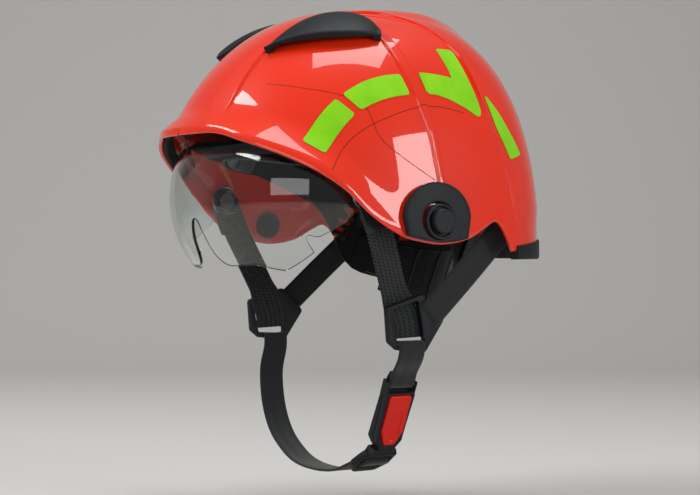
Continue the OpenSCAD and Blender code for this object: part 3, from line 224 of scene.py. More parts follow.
def moulded(name, parts, sharp=40):
    """One piece from (grid, ring) pairs: a ring is closed both ways, and the others are capped."""
    return join(name, *[surface(name, g, wrap_rows=ring, sharp=sharp) for g, ring in parts])


def join(name, *objects):
    """One object from several, for a piece moulded in one."""
    for o in bpy.context.view_layer.objects:
        o.select_set(o in objects)
    bpy.context.view_layer.objects.active = objects[0]
    bpy.ops.object.join()
    objects[0].name = name
    objects[0].data.name = name
    return objects[0]


def put(obj, material, body, *nodes, slot):
    """Gives a piece its material and the body it rides on, and hides the CAD nodes that it stands for. slot is not
    used.
    """
    obj.data.materials.clear()
    obj.data.materials.append(material)
    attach(obj, body)
    if nodes:
        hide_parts(*nodes)


# ---- materials -----------------------------------------------------------------------------------------------

def hex_linear(text):
    """Linear colour of an sRGB hex value: c/12.92 below 0.04045, else ((c + 0.055)/1.055)^2.4."""
    s = [int(text.lstrip("#")[i:i + 2], 16) / 255 for i in (0, 2, 4)]
    return tuple(c / 12.92 if c <= 0.04045 else ((c + 0.055) / 1.055) ** 2.4 for c in s) + (1.0,)


def add_node(tree, kind, settings=None, links=None):
    """Adds a node, sets its sockets or attributes from settings, and links its inputs from (node, output)."""
    node = tree.nodes.new(kind)
    for key, value in (settings or {}).items():
        if isinstance(key, str) and hasattr(node, key) and key not in node.inputs:
            setattr(node, key, value)
        else:
            node.inputs[key].default_value = value
    for key, (source, output) in (links or {}).items():
        tree.links.new(source.outputs[output], node.inputs[key])
    return node


def new_material(name, colour, roughness, sockets):
    """A material with a Principled shader whose uniform values are on its sockets."""
    material = bpy.data.materials.new(name)
    material.use_nodes = True
    tree = material.node_tree
    tree.nodes.clear()
    uniform = {"Base Color": hex_linear(colour), "Roughness": roughness, **sockets}
    shader = add_node(tree, "ShaderNodeBsdfPrincipled", uniform)
    add_node(tree, "ShaderNodeOutputMaterial", links={"Surface": (shader, "BSDF")})
    return material, tree, shader


NOISE, VORONOI, MATH = "ShaderNodeTexNoise", "ShaderNodeTexVoronoi", "ShaderNodeMath"


def pattern(tree, kind, **settings):
    """A texture of any kind on Object coordinates, with its scale per metre."""
    where = add_node(tree, "ShaderNodeTexCoord")
    return add_node(tree, kind, settings, {"Vector": (where, "Object")})


def strap_axes(tree):
    """The strap's own UV map taken apart: X across it and Y along it, in metres."""
    uv = add_node(tree, "ShaderNodeUVMap", {"uv_map": "UVMap"})
    return add_node(tree, "ShaderNodeSeparateXYZ", links={"Vector": (uv, "UV")})


def wave(tree, source, output, spacing):
    """Sine of a coordinate, with a full turn for each spacing in mm."""
    turns = add_node(tree, MATH, {"operation": "MULTIPLY", 1: 2 * math.pi / (spacing * MM)}, {0: (source, output)})
    return add_node(tree, MATH, {"operation": "SINE"}, {0: (turns, 0)})


def bump(tree, shader, height, strength, distance):
    """Feeds a height in mm through a Bump node to the shader's normal."""
    node = add_node(tree, "ShaderNodeBump", {"Strength": strength, "Distance": distance * MM}, {"Height": (height, 0)})
    tree.links.new(node.outputs["Normal"], shader.inputs["Normal"])


def varied(tree, shader, source, low, high):
    """Spreads a pattern between two values of the shader's roughness."""
    node = add_node(tree, "ShaderNodeMapRange", {"To Min": low, "To Max": high}, {"Value": (source, 0)})
    tree.links.new(node.outputs["Result"], shader.inputs["Roughness"])


def tinted(tree, shader, source, dark, light, low, high):
    """Colours a pattern between two sRGB colours, which it reaches at low and high."""
    node = add_node(tree, "ShaderNodeValToRGB", links={"Fac": (source, 0)})
    ends = node.color_ramp.elements
    ends[0].position, ends[1].position = low, high
    ends[0].color, ends[1].color = hex_linear(dark), hex_linear(light)
    tree.links.new(node.outputs["Color"], shader.inputs["Base Color"])


def make_materials(look):
    """All finishes of the helmet, by name."""
    made = {}

    # Moulded thermoplastic shell, painted and lacquered: a deep clear gloss with a trace of orange peel 3 mm wide.
    made["shell"], tree, shader = new_material("lacquered_shell", look.shell_hex, 0.4, {
        "Coat Weight": 1.0, "Coat Roughness": 0.03, "Coat IOR": 1.5, "Specular IOR Level": 0.12})
    varied(tree, shader, pattern(tree, NOISE, Scale=14.0, Detail=3.0), 0.34, 0.48)
    bump(tree, shader, pattern(tree, NOISE, Scale=330.0, Detail=1.0), 0.035, 0.25)

    # Injection-moulded nylon with a spark-eroded grain about 0.7 mm across: satin, with the grain catching light.
    for key, colour, low, high, depth in (
        ("trim", look.trim_hex, 0.42, 0.6, 0.22),
        ("inner", "#17191B", 0.5, 0.7, 0.18),
    ):
        made[key], tree, shader = new_material("grained_nylon_" + key, colour, 0.5, {"Specular IOR Level": 0.2})
        varied(tree, shader, pattern(tree, NOISE, Scale=40.0, Detail=4.0), low, high)
        bump(tree, shader, pattern(tree, NOISE, Scale=1400.0, Detail=2.0), 0.3, depth)

    # Soft rubber of the brow seal and the visor's bead: dull, with a fine grain about 1.1 mm across.
    made["rubber"], tree, shader = new_material("moulded_rubber", "#141516", 0.72, {"Specular IOR Level": 0.35})
    grain = pattern(tree, NOISE, Scale=900.0, Detail=2.0)
    varied(tree, shader, grain, 0.62, 0.82)
    bump(tree, shader, grain, 0.2, 0.1)

    # Retroreflective film: prisms in cells 2.5 mm across under a clear face, so it gleams unevenly.
    made["film"], tree, shader = new_material("prismatic_film", look.film_hex, 0.35, {
        "Coat Weight": 0.5, "Coat Roughness": 0.08, "Specular IOR Level": 0.15})
    cells = pattern(tree, VORONOI, Scale=400.0)
    tinted(tree, shader, pattern(tree, NOISE, Scale=60.0, Detail=2.0), look.film_low_hex, look.film_hex, 0.3, 0.7)
    varied(tree, shader, cells, 0.28, 0.5)
    bump(tree, shader, cells, 0.12, 0.1)

    # Polished polycarbonate, IOR 1.45 for a hard coat: clear, with a faint ripple of the mould and a green-grey tint.
    made["clear"], tree, shader = new_material("polycarbonate", "#F1F6F5", 0.0, {
        "Transmission Weight": 1.0, "IOR": 1.45, "Specular IOR Level": 0.5})
    bump(tree, shader, pattern(tree, NOISE, Scale=22.0, Detail=0.0), 0.02, 0.5)

    # Woven polyester webbing in herringbone: slanted ribs 2.1 mm apart along the strap, which turn back every 5.2 mm
    # across it, over threads 1.3 mm apart.
    made["webbing"], tree, shader = new_material("herringbone_webbing", "#17191B", 0.82, {
        "Sheen Weight": 0.25, "Sheen Roughness": 0.5, "Specular IOR Level": 0.25})
    apart = strap_axes(tree)
    zig = add_node(tree, MATH, {"operation": "PINGPONG", 1: 5.2 * MM}, {0: (apart, "X")})
    lean = add_node(tree, MATH, {"operation": "MULTIPLY_ADD", 1: 1.5}, {0: (zig, 0), 2: (apart, "Y")})
    rib, thread = wave(tree, lean, 0, 2.1), wave(tree, apart, "X", 1.3)
    height = add_node(tree, MATH, {"operation": "MULTIPLY_ADD", 1: 0.3}, {0: (thread, 0), 2: (rib, 0)})
    # Painted shade: the dips between ribs and threads are darker, their tops lighter.
    tinted(tree, shader, height, "#111315", "#1F2225", 0.0, 1.0)
    varied(tree, shader, rib, 0.72, 0.9)
    bump(tree, shader, height, 0.35, 0.2)

    # Open ladder webbing of the front straps: dips between slanted rows 2.6 mm apart along the strap and columns 3.4 mm
    # apart across it, painted near black as shade.
    made["weave"], tree, shader = new_material("open_weave_webbing", "#191B1D", 0.8, {
        "Sheen Weight": 0.2, "Sheen Roughness": 0.5, "Specular IOR Level": 0.25})
    apart = strap_axes(tree)
    slant = add_node(tree, MATH, {"operation": "MULTIPLY_ADD", 1: 0.55}, {0: (apart, "X"), 2: (apart, "Y")})
    rows, cols = wave(tree, slant, 0, 2.6), wave(tree, apart, "X", 3.4)
    solid = add_node(tree, MATH, {"operation": "MAXIMUM"}, {0: (rows, 0), 1: (cols, 0)})
    # Painted shade: near black in the dips and open gaps, lighter on the threads' tops.
    tinted(tree, shader, solid, "#040505", "#23272A", 0.1, 0.85)
    varied(tree, shader, solid, 0.7, 0.88)
    bump(tree, shader, solid, 0.8, 0.5)

    # Mould parting line and hairline joints of the shell: painted shade, a darker red strip along each line for the
    # shade in its gap.
    made["joint"], tree, shader = new_material("joint_painted_shade", "#7A1408", 0.5, {"Specular IOR Level": 0.2})
    shade_mottle = pattern(tree, NOISE, Scale=200.0, Detail=2.0)
    varied(tree, shader, shade_mottle, 0.4, 0.6)
    # Painted shade of the joints, mottled between two darker reds.
    tinted(tree, shader, shade_mottle, "#701106", "#8E1A0B", 0.3, 0.7)

    # Moulded bead foam: beads about 4 mm across, pressed flat, with dark joints.
    made["foam"], tree, shader = new_material("bead_foam", "#1B1C1E", 0.8, {"Specular IOR Level": 0.3})
    beads = pattern(tree, VORONOI, Scale=250.0, feature="DISTANCE_TO_EDGE")
    tinted(tree, shader, beads, "#101112", "#242629", 0.0, 0.15)
    bump(tree, shader, beads, 0.5, 0.5)

    # Brushed-back knit over the pads: loops 1.4 mm apart.
    made["knit"], tree, shader = new_material("knitted_cover", "#202224", 0.9, {
        "Sheen Weight": 0.4, "Sheen Roughness": 0.4, "Specular IOR Level": 0.2})
    loops = pattern(tree, VORONOI, Scale=700.0)
    tinted(tree, shader, loops, "#2B2D30", "#131415", 0.0, 0.7)
    bump(tree, shader, loops, 0.5, 0.3)

    # Zinc-plated steel of the pins, the pinion and the spring: default metal IOR, softly brushed.
    made["steel"], tree, shader = new_material("plated_steel", "#9EA1A4", 0.32, {"Metallic": 1.0})
    brush = pattern(tree, NOISE, Scale=800.0, Detail=2.0)
    varied(tree, shader, brush, 0.25, 0.45)
    bump(tree, shader, brush, 0.08, 0.05)

    # Press button in dyed acetal: bright red with a low gloss.
    made["button"], tree, shader = new_material("button_acetal", look.button_hex, 0.35, {
        "Coat Weight": 0.2, "Coat Roughness": 0.15, "Specular IOR Level": 0.2})
    grain = pattern(tree, NOISE, Scale=700.0, Detail=2.0)
    varied(tree, shader, grain, 0.26, 0.42)
    bump(tree, shader, grain, 0.1, 0.08)
    return made


# ---- the dome ------------------------------------------------------------------------------------------------
# A superellipsoid of two halves that meet at y = CENTRE. A unit point times the half axes plus an offset h gives
# a point on the dome h above its surface.

HALF_W, FRONT, REAR, RISE, BASE, CENTRE = 118.0, 167.0, 121.0, 182.0, -9.0, 19.0
FRONT_POWER, REAR_POWER, FRONT_RISE, SIDE_POWER, WALL = 2.25, 2.35, 2.26, 2.4, 3.2
EDGE_LINE = [(-150, 78), (-129, 78), (-118, 71), (-99, 60), (-83, 50), (-68, 38), (-53, 22), (-32, 8.5), (-13, 3.5),
             (0, 2), (25, 6), (42, 14.8), (50, 18), (57.6, 12.75), (63.3, 4.98), (69, -3), (72, -2.7), (140, 4)]
BAND_LINE = [(-150, 37), (-128, 36), (-88, 30.5), (-20, 27), (0, 32), (20, 48), (34, 65), (44, 80)]
RIDGE_LINE = [(34, 152.8), (44, 135), (46.5, 120), (49.5, 105.5), (53, 91), (59.5, 68.5), (67, 43), (72, 18), (76, -20)]
CREASE = 1.6
RIB_LINE = [(44, 2), (79, -1), (96, -4.3), (114, -7.5), (130, -11.5), (147, -14)]
CREST_LINE = [(-20, 0), (25, 0.45), (60, 1), (150, 1)]


def powers(y):
    """Half length and plan power of the dome's half that holds y."""
    ahead = y < CENTRE
    return np.where(ahead, FRONT, REAR), np.where(ahead, FRONT_POWER, REAR_POWER)


def rise_power(y):
    """Power of the upright sections, which are rounder towards the brow."""
    return mix(FRONT_RISE, SIDE_POWER, ramp(-110, -20, y))


def place(u, h):
    """Unit point to the dome: each coordinate times its half axis plus h."""
    half = np.where(u[..., 1] < 0, FRONT, REAR) + h
    return stacked(u[..., 0] * (HALF_W + h), CENTRE + u[..., 1] * half, BASE + u[..., 2] * (RISE + h))


def unit_yz(q):
    """Left-hand unit point at a pair (y, z): x^m = (1 - k^p)^(m/p) - |e|^m."""
    y, z = q[..., 0], q[..., 1]
    half, m = powers(y)
    p = rise_power(y)
    e, k = (y - CENTRE) / half, np.maximum((z - BASE) / RISE, 0)
    r = np.maximum(1 - np.minimum(k, 1) ** p, 0) ** (m / p) - np.abs(e) ** m
    return stacked(np.maximum(r, 0) ** (1 / m), e, k)


def unit_xy(x, y, h=0.0):
    """Upper unit point at x and y: k^p = 1 - (|a|^m + |e|^m)^(p/m)."""
    half, m = powers(y)
    p = rise_power(y)
    a, e = x / (HALF_W + h), (y - CENTRE) / (half + h)
    r = (np.abs(a) ** m + np.abs(e) ** m) ** (p / m)
    return stacked(a, e, np.maximum(1 - r, 0) ** (1 / p))


def plan(angle):
    """Unit outline of the plan at an angle in radians, 0 at the left ear and pi/2 at the nape: |a|^m + |e|^m = 1."""
    s, c = np.sin(angle), np.cos(angle)
    m = np.where(s < 0, FRONT_POWER, REAR_POWER)
    return np.sign(c) * np.abs(c) ** (2 / m), np.sign(s) * np.abs(s) ** (2 / m)


POWER_ROUNDS, LINE_ROUNDS = 8, 40


def settled_power(angle, share):
    """The upright power depends on y and y on the power, so the two are worked out in turn until they agree."""
    e = plan(angle)[1]
    p = SIDE_POWER
    for _ in range(POWER_ROUNDS):
        p = rise_power(CENTRE + e * np.where(e < 0, FRONT, REAR) * share(p))
    return p


def around(angle, turn):
    """Unit point at a plan angle and a turn down from the crown, in radians."""
    p = settled_power(angle, lambda p: np.abs(np.sin(turn)) ** (2 / p))
    a, e = plan(angle)
    q = np.abs(np.sin(turn)) ** (2 / p)
    return stacked(a * q, e * q, np.abs(np.cos(turn)) ** (2 / p))


def foot(angle, z, h):
    """Point of the dome at a plan angle and height."""
    k = clamp((z - BASE) / RISE, 0, 1)
    p = settled_power(angle, lambda p: (1 - k**p) ** (1 / p))
    a, e = plan(angle)
    q = (1 - k**p) ** (1 / p)
    point = place(stacked(a * q, e * q, 0 * q), h)
    point[..., 2] = z
    return point


def turn_at(angle, z):
    """Turn from the crown at which the dome has height z at a plan angle."""
    k = clamp((z - BASE) / RISE, 0, 1)
    p = settled_power(angle, lambda p: (1 - k**p) ** (1 / p))
    return np.arccos(k ** (p / 2))


def edge_z(y):
    """Height of the shell's lower edge."""
    return through(y, EDGE_LINE)


def settle(angle, line):
    """Height at which the dome at a plan angle meets a line given over y, found by repeated halving steps."""
    z = np.full(np.shape(angle), 20.0)
    for _ in range(LINE_ROUNDS):
        z = 0.5 * z + 0.5 * through(foot(angle, z, 0.0)[..., 1], line)
    return z


def band_out(p):
    """How far a point lies outside the centre band: across it ahead of the ears, below its ridge behind them."""
    across = np.abs(p[..., 0]) - through(p[..., 1], BAND_LINE)
    below = np.interp(p[..., 1], *np.array(RIDGE_LINE).T) - p[..., 2]
    return np.where(p[..., 1] < RIDGE_LINE[0][0], across, below)


def band_lift(p):
    """Height of the centre band: its edge step, and the crest that steps down twice behind the crown."""
    x, y, z = np.abs(p[..., 0]), p[..., 1], p[..., 2]
    steps = ramp(82, 85, y) + ramp(97, 100, y)
    e = edge_z(y)
    return (2.2 * mix(0.55, 1, ramp(60, 150, z)) * ramp(e + 12, e + 30, z)
            + (1 - ramp(30, 46, x)) * (3.6 * through(y, CREST_LINE) - 2.4 * steps))


def flare(p):
    """Brim: 9 mm of flare over the lowest 30 mm, as the power 1.6 of the share, fading out by the ears."""
    near = clamp(1 - (p[..., 2] - edge_z(p[..., 1])) / 30, 0, 1)
    return 9 * near**1.6 * (1 - ramp(-75, -20, p[..., 1]))


def rib_y(z):
    """Where the rib's middle line runs at height z."""
    return np.interp(z, *np.array(RIB_LINE).T)


def rib_lift(p):
    """Rib 1.8 mm high and 9 to 4.5 mm wide that leans back from the vent cover to the side plate."""
    y_rib = rib_y(p[..., 2])
    half = mix(4.5, 9, clamp((p[..., 2] - 44) / 103, 0, 1)) / 2
    inside = ramp(36, 40, p[..., 2]) * (1 - ramp(144, 147, p[..., 2]))
    return 1.8 * inside * (1 - ramp(half - 0.9, half + 0.5, np.abs(p[..., 1] - y_rib))) * (band_out(p) > 0)


def lift(p):
    """All that stands above the plain dome."""
    return band_lift(p) * (1 - ramp(0, CREASE, band_out(p))) + rib_lift(p) + flare(p)


def top_of(y):
    """Highest unit point of the cross-section at y."""
    half = powers(y)[0]
    p = rise_power(y)
    return np.maximum(1 - np.abs((y - CENTRE) / half) ** p, 0) ** (1 / p)


def at_turn(y, turn):
    """Left-hand unit point of the cross-section at y, a turn down from its top."""
    half, m = powers(y)
    p = rise_power(y)
    e, k = (y - CENTRE) / half, top_of(y) * np.cos(turn) ** (2 / p)
    r = np.maximum(1 - k**p, 0) ** (m / p) - np.abs(e) ** m
    return stacked(np.maximum(r, 0) ** (1 / m), e, k)


def section_turn(y, z):
    """Turn down from the top at which the cross-section at y has height z."""
    share = clamp(np.maximum((z - BASE) / RISE, 0) / np.maximum(top_of(y), 1e-6), 0, 1)
    return np.arccos(share ** (rise_power(y) / 2))


def crease_z(y, more):
    """Height of the centre band's edge, or of a line a distance outside it."""
    ahead = place(unit_xy(through(y, BAND_LINE) + more, y), 0.0)[..., 2]
    return np.where(y < RIDGE_LINE[0][0], ahead, np.interp(y, *np.array(RIDGE_LINE).T) - more)


# Height of the shell's rolled edge, and the lines kept over the crease and over the band
ROLL, CREASE_COLS, BAND_COLS = 1.3, 13, 14


def build_shell(detail):
    """Cross-sections from brow to nape, each a closed loop: from the left edge up to the crease, over the band, down to
    the right edge, round the rolled edge and back inside. Beside the rib the sections lean with it, so that its sides
    are kept as lines too."""
    near, rib = detail.shell_rows, detail.shell_rows // 2
    angle = np.radians(np.concatenate([np.linspace(-89.7, -14, near, endpoint=False),
                                       np.linspace(-14, 2, rib, endpoint=False), np.linspace(2, 89.7, near)]))
    edge = settle(angle, EDGE_LINE)
    low = edge + ROLL
    start = foot(angle, low, 0.0)
    brim = flare(start)
    y0, z_low = start[:, 1][:, None], low[:, None]
    cols = detail.shell_columns
    up = np.concatenate([(np.arange(cols) / cols) ** 1.1, np.ones(CREASE_COLS + BAND_COLS)])[None, :]
    pin = np.concatenate([np.zeros(cols), np.linspace(0, 1, CREASE_COLS), np.ones(BAND_COLS)])[None, :]
    over = np.concatenate([np.zeros(cols + CREASE_COLS), np.arange(1, BAND_COLS + 1) / (BAND_COLS + 0.5)])[None, :]

    def turns(y):
        last = section_turn(y, z_low)
        out = np.minimum(section_turn(y, crease_z(y, CREASE * 1.25)), 0.94 * last)
        edge_turn = np.minimum(section_turn(y, crease_z(y, -CREASE * 0.25)), 0.88 * last)
        return mix(mix(last, out, up), edge_turn, pin) * (1 - over)

    z0 = place(at_turn(y0, turns(y0)), 0.0)[..., 2]
    lean = ramp(-70, -12, y0) * (1 - ramp(8, 50, y0))
    y = y0 + (rib_y(z0) - rib_y(RIB_LINE[0][0])) * lean
    unit = at_turn(y, turns(y))
    outside = place(unit, lift(place(unit, 0.0)))
    outside[:, 0] = foot(angle, low, brim)
    rim = np.stack([foot(angle, edge + dz, brim + h)
                    for dz, h in ((0.5, -0.35), (0.08, -1.0), (0.0, -1.6), (0.08, -2.2), (0.5, -2.85))], axis=1)
    share = np.linspace(0, 0.97, 10)[None, :]
    base = at_turn(y0, section_turn(y0, z_low) * (1 - share))
    inside = place(base, flare(place(base, 0.0)) - WALL)
    inside[:, 0] = foot(angle, low, brim - WALL)
    other = np.array([-1.0, 1, 1])
    loop = np.concatenate([outside, outside[:, ::-1] * other, rim * other, inside * other, inside[:, ::-1],
                           rim[:, ::-1]], axis=1)
    return surface("shell", loop, sharp=60)


LINER_LINE = [(-150, 78), (-95, 78), (-60, 72), (-10, 57), (30, 42), (60, 40), (90, 38), (112, 31), (150, 24)]
# Gap from the shell to the liner and depth of the liner's inner face; the liner's clearance inside the visor's sweep
# and its thickness there
LINER_GAP, LINER_DEPTH, SWEEP_GAP, SWEEP_FOAM = 0.9, 26.7, 3.2, 6
PIVOT_Y, PIVOT_Z, VISOR_R, VISOR_W, VISOR_WALL, VISOR_POWER = -49.0, 36.0, 80.5, 101.0, 2.2, 2.2


def clear_of_visor(p, inset, more=0.0):
    """Pulls points towards the pivot so that they stay inside the visor's sweep, less the inset."""
    down, up = PIVOT_Y - p[..., 1], p[..., 2] - PIVOT_Z
    size = ((np.abs(p[..., 0]) / (VISOR_W - VISOR_WALL - inset)) ** VISOR_POWER
            + (np.hypot(down, up) / (VISOR_R - VISOR_WALL - inset)) ** VISOR_POWER) ** (1 / VISOR_POWER)
    turn = np.degrees(np.arctan2(up, down))
    back = ramp(98 + more, 116 + more, np.where(turn < -90, turn + 360, turn))
    k = mix(1 / np.maximum(size, 1), 1, back)
    return stacked(p[..., 0] * k, mix(PIVOT_Y, p[..., 1], k), mix(PIVOT_Z, p[..., 2], k))


def build_liner():
    """Foam liner: inner and outer faces of the dome at two depths, joined round their lower edge."""
    angle = full_turn(240)[None, :]
    top = turn_at(angle, settle(angle, LINER_LINE) + 0.5)
    out_turn, in_turn = top * np.linspace(0.02, 1, 50)[:, None], top * np.linspace(1, 0.02, 50)[:, None]
    outer = clear_of_visor(place(around(angle, out_turn), -(WALL + LINER_GAP)), SWEEP_GAP)
    inner = clear_of_visor(place(around(angle, in_turn), -(WALL + LINER_DEPTH)), SWEEP_GAP + SWEEP_FOAM)
    return surface("liner", np.vstack([outer, mix(outer[-1:], inner[:1], 0.5), inner]), sharp=50)


def build_trim():
    """Channel that grips the rear edge: its closed section of thirteen corners is carried round the nape."""
    start_y = 72.0
    first = math.asin(((start_y - CENTRE) / REAR) ** (REAR_POWER / 2))
    angle = np.linspace(first, math.pi - first, 150)
    e = edge_z(foot(angle, np.full_like(angle, 4.0), 0.0)[:, 1])
    inner = -WALL - 0.25
    low = np.full_like(angle, -8.5)
    section = [(1.0, e + 4), (1.4, e + 3.4), (1.4, low + 2.2), (1.1, low + 0.7), (0.2, low), (inner - 1, low),
               (inner - 1.4, low + 1.5), (inner - 1.4, e + 3.6), (inner - 0.8, e + 4), (inner, e + 3.6),
               (inner, e - 0.25), (0.25, e - 0.25), (0.25, e + 3.6)]
    return surface("rear_trim", np.stack([foot(angle, z, h) for h, z in section], axis=1), sharp=40)


def build_seal():
    """Soft lip round the inside of the brim: a rounded strip 3 mm thick, 1.5 to 8 mm above the edge."""
    first = -math.asin(((CENTRE + 94) / FRONT) ** (FRONT_POWER / 2))
    angle = np.linspace(first, -math.pi - first, 160)
    y = foot(angle, np.full_like(angle, 78.0), 0.0)[:, 1]
    e = edge_z(y)
    section = [(1.5, -0.5), (1.9, 0), (4.5, 0), (7.6, 0), (8, -0.5), (8, -2.5), (7.6, -3), (4.5, -3.2), (1.9, -3),
               (1.5, -2.5)]
    rows = [foot(angle, e + up, flare(stacked(0, y, e + up)) - WALL - 0.8 + h) for up, h in section]
    return surface("brow_seal_lip", np.stack(rows, axis=1), sharp=60)


def cover_plan(u, v):
    """Plan of a vent cover: two quadratic curves, the lip and the back, mixed by v."""
    a, b = np.array([33.0, -88.0]), np.array([72.0, -19.0])
    u, v = u[..., None], v[..., None]

    def bend(p, q, r):
        return p * (1 - u) ** 2 + q * 2 * u * (1 - u) + r * u**2

    return mix(bend(a, np.array([68.0, -58.0]), b), bend(a + [0.6, 4], np.array([20.0, -16.0]), b + [-7, 4]), v)


COVER_GAP, MOUTH = 0.4, 3.8


def build_vent_cover(side, sign):
    """Half-moon hood: a closed section runs over the top, down the lip's face and back under it, for each u. It
    stands 0.4 mm off the dome, and its mouth is open by 3.8 mm."""
    u = np.linspace(0, 1, 90)
    ends = np.sin(np.pi * clamp(u, 0.04, 0.96)) ** 0.25
    mouth = MOUTH * (ramp(0.045, 0.085, u) * (1 - ramp(0.915, 0.955, u)))

    def at(v, h):
        xy = cover_plan(u, np.full_like(u, v))
        return place(unit_xy(xy[:, 0], xy[:, 1]), h)

    def top(v):
        return COVER_GAP + np.maximum(2.2, 9 * (1 - 0.5 * v**2) * ends)

    under = COVER_GAP + mouth
    section = [(1.0, COVER_GAP), (1.0, top(1.0) - 0.9), (0.985, top(0.985) - 0.25)]
    section += [(v, top(v)) for v in np.linspace(0.96, 0.05, 16)]
    section += [(0.02, top(0.02) - 0.12), (0.004, top(0.0) - 0.5), (0.0, top(0.0) - 1.1), (0.0, under + 0.5),
                (0.015, under + 0.05)]
    section += [(v, COVER_GAP + mouth * (1 - ramp(0.5, 0.85, v))) for v in (0.1, 0.3, 0.5, 0.62, 0.74, 0.86)]
    grid = np.stack([at(v, h) for v, h in section], axis=1)
    return surface("vent_hood_" + side, grid * [sign, 1, 1], sharp=38)


# The port's middle, the plate's half width, the round hole and the height of the arch's foot
PORT_Y, PORT_Z, PLATE_R, HOLE_R, ARCH_FOOT = -3.5, 17.5, 26.0, 12.45, 3


def build_side_plate(side, sign):
    """Arch over the ear: a closed section from the round hole out to the outline, carried once round."""
    arc = np.linspace(0, 1, 60)
    up = PORT_Z + PLATE_R
    mid = mix(ARCH_FOOT, up, 0.42)
    narrow = PLATE_R * 0.9
    reach = PLATE_R * mix(0.9, 1, arc)
    left = stacked(PORT_Y - reach, mix(edge_z(PORT_Y - narrow) + 1.2, mid, arc))
    turn = np.linspace(0, np.pi, 90)
    cap = stacked(PORT_Y - PLATE_R * np.cos(turn), mid + (up - mid) * np.sin(turn))
    right = stacked(PORT_Y + reach, mix(edge_z(PORT_Y + narrow) + 1.2, mid, arc))[::-1]
    y = np.linspace(PORT_Y + narrow, PORT_Y - narrow, 60)
    bottom = stacked(y, edge_z(y) + 1.2)
    centre = np.array([PORT_Y, PORT_Z])
    ray = evenly(np.vstack([left, cap, right, bottom]), 240, closed=True) - centre
    far = np.linalg.norm(ray, axis=1)
    section = [(far + a, h) for a, h in ((0, 0.3), (0, 3.9), (-0.25, 4.6), (-0.8, 5.0))]
    section += [(mix(HOLE_R, far, share), 5.05) for share in (0.8, 0.6, 0.4, 0.2)]
    section += [(HOLE_R + a, h) for a, h in ((0.9, 5.05), (0.25, 4.8), (0, 4.3), (0, 0.6))]
    rows = []
    for r, h in section:
        q = centre + normed(ray) * np.broadcast_to(r, far.shape)[:, None]
        rows.append(place(unit_yz(q), h))
    grid = np.stack(rows, axis=0) * [sign, 1, 1]
    return surface("ear_plate_" + side, grid, wrap_rows=True, sharp=40)


STRIPS = [
    ([(-78, 61.5), (-72, 71), (-64, 81), (-55, 90)], [(-90, 70), (-83, 81), (-74.5, 91.5), (-65, 100.5)]),
    ([(-50.5, 93), (-38, 99), (-25, 103), (-12.5, 105)], [(-60, 104), (-45, 112.5), (-30, 117.5), (-15.5, 119.5)]),
    ([(1.5, 106.5), (11, 105.5), (21, 102.5), (33, 97), (43, 92), (46, 98), (42.5, 119), (39, 141)],
     [(-0.5, 121.5), (9, 121.2), (17, 120.5), (23, 119.8), (26.5, 119), (26.8, 124), (25.5, 132), (24, 141)]),
    ([(52, 105.5), (54.5, 95), (57.5, 84), (63, 73), (68.5, 62)],
     [(53.5, 106.5), (64, 94), (71, 83.5), (77.5, 74.5), (83, 66)]),
]
FILM_T, FILM_CORNER, FILM_POINTS = 0.35, 1.8, 60


def build_strips(side, sign):
    """Four film strips laid on the lifted dome, each a band between two curves with round corners."""
    grids = []
    for low, high in STRIPS:
        a, b = evenly(curve(low, 12), FILM_POINTS), evenly(curve(high, 12), FILM_POINTS)
        length = run_along((a + b) / 2)[-1]
        width = np.linalg.norm(a - b, axis=1)
        end = np.minimum(np.linspace(0, length, FILM_POINTS), np.linspace(length, 0, FILM_POINTS))
        r = FILM_CORNER
        cut = np.where(end < r, r - np.sqrt(np.maximum(r * r - (r - end) ** 2, 0)), 0)
        cut = np.minimum(cut / np.maximum(width, 2), 0.4)
        share = mix(cut[:, None], 1 - cut[:, None], np.linspace(0, 1, 13)[None, :])
        q = mix(a[:, None, :], b[:, None, :], share[..., None])
        u = unit_yz(q)
        h = lift(place(u, 0.0)) + 0.12
        outer, inner = place(u, h + FILM_T), place(u, h)
        grids.append(np.concatenate([outer, inner[:, ::-1]], axis=1) * [sign, 1, 1])
    return surface("film_strips_" + side, grids, sharp=50)


JOINTS = [
    [(-99, 112), (-79, 107.6), (-62, 103.6), (-47.4, 96), (-41, 75), (-27, 61.6), (-3, 46)],
    [(-75, 49), (-66, 67), (-47, 82), (-14, 95), (8, 97.5), (30, 94)],
]


def build_hairlines(side, sign):
    """Joint lines of the shell, 0.5 mm wide: two rows of points either side of a curve, 0.05 mm over the lifted
    dome, and two more sunk in it."""
    grids = []
    for points in JOINTS:
        line = evenly(curve(points, 14), 160)
        ahead = normed(np.gradient(line, axis=0))
        normal = stacked(-ahead[:, 1], ahead[:, 0])
        rows = []
        for off, h in ((-0.25, -0.3), (-0.25, 0.05), (0.25, 0.05), (0.25, -0.3)):
            unit = unit_yz(line + normal * off)
            rows.append(place(unit, lift(place(unit, 0.0)) + h))
        grids.append(np.stack(rows, axis=1) * [sign, 1, 1])
    # The strips carry the painted shade of the shell's joints.
    return surface("shell_joint_shade_" + side, grids, sharp=40)


# ---- the visor -----------------------------------------------------------------------------------------------

VISOR_EDGE = [(0, 21), (4, 18), (8, 9), (12, -4), (17, -10.5), (28, -13), (45, -12.5), (62, -16), (74, -17), (80, -14),
              (82.5, -5), (84, 5), (89, 7), (95, 13), (99, 20), (101, 30)]
# Upper edge above level ahead of the pivot, and the section of the hub as radius and x
VISOR_TOP = math.radians(36)
HUB = np.array([(3.06, 98.05), (10.4, 98.05), (11, 98.5), (11, 100.4), (10.4, 100.98), (3.06, 100.98)])


def lens(x, angle, grow):
    """Visor face: radius from the pivot axis R(1 - |x/a|^p)^(1/p) at an angle above level ahead of the pivot."""
    a, r = VISOR_W + grow, VISOR_R + grow
    rho = r * np.maximum(1 - np.abs(x / a) ** VISOR_POWER, 0) ** (1 / VISOR_POWER)
    return stacked(x, PIVOT_Y - rho * np.cos(angle), PIVOT_Z + rho * np.sin(angle))


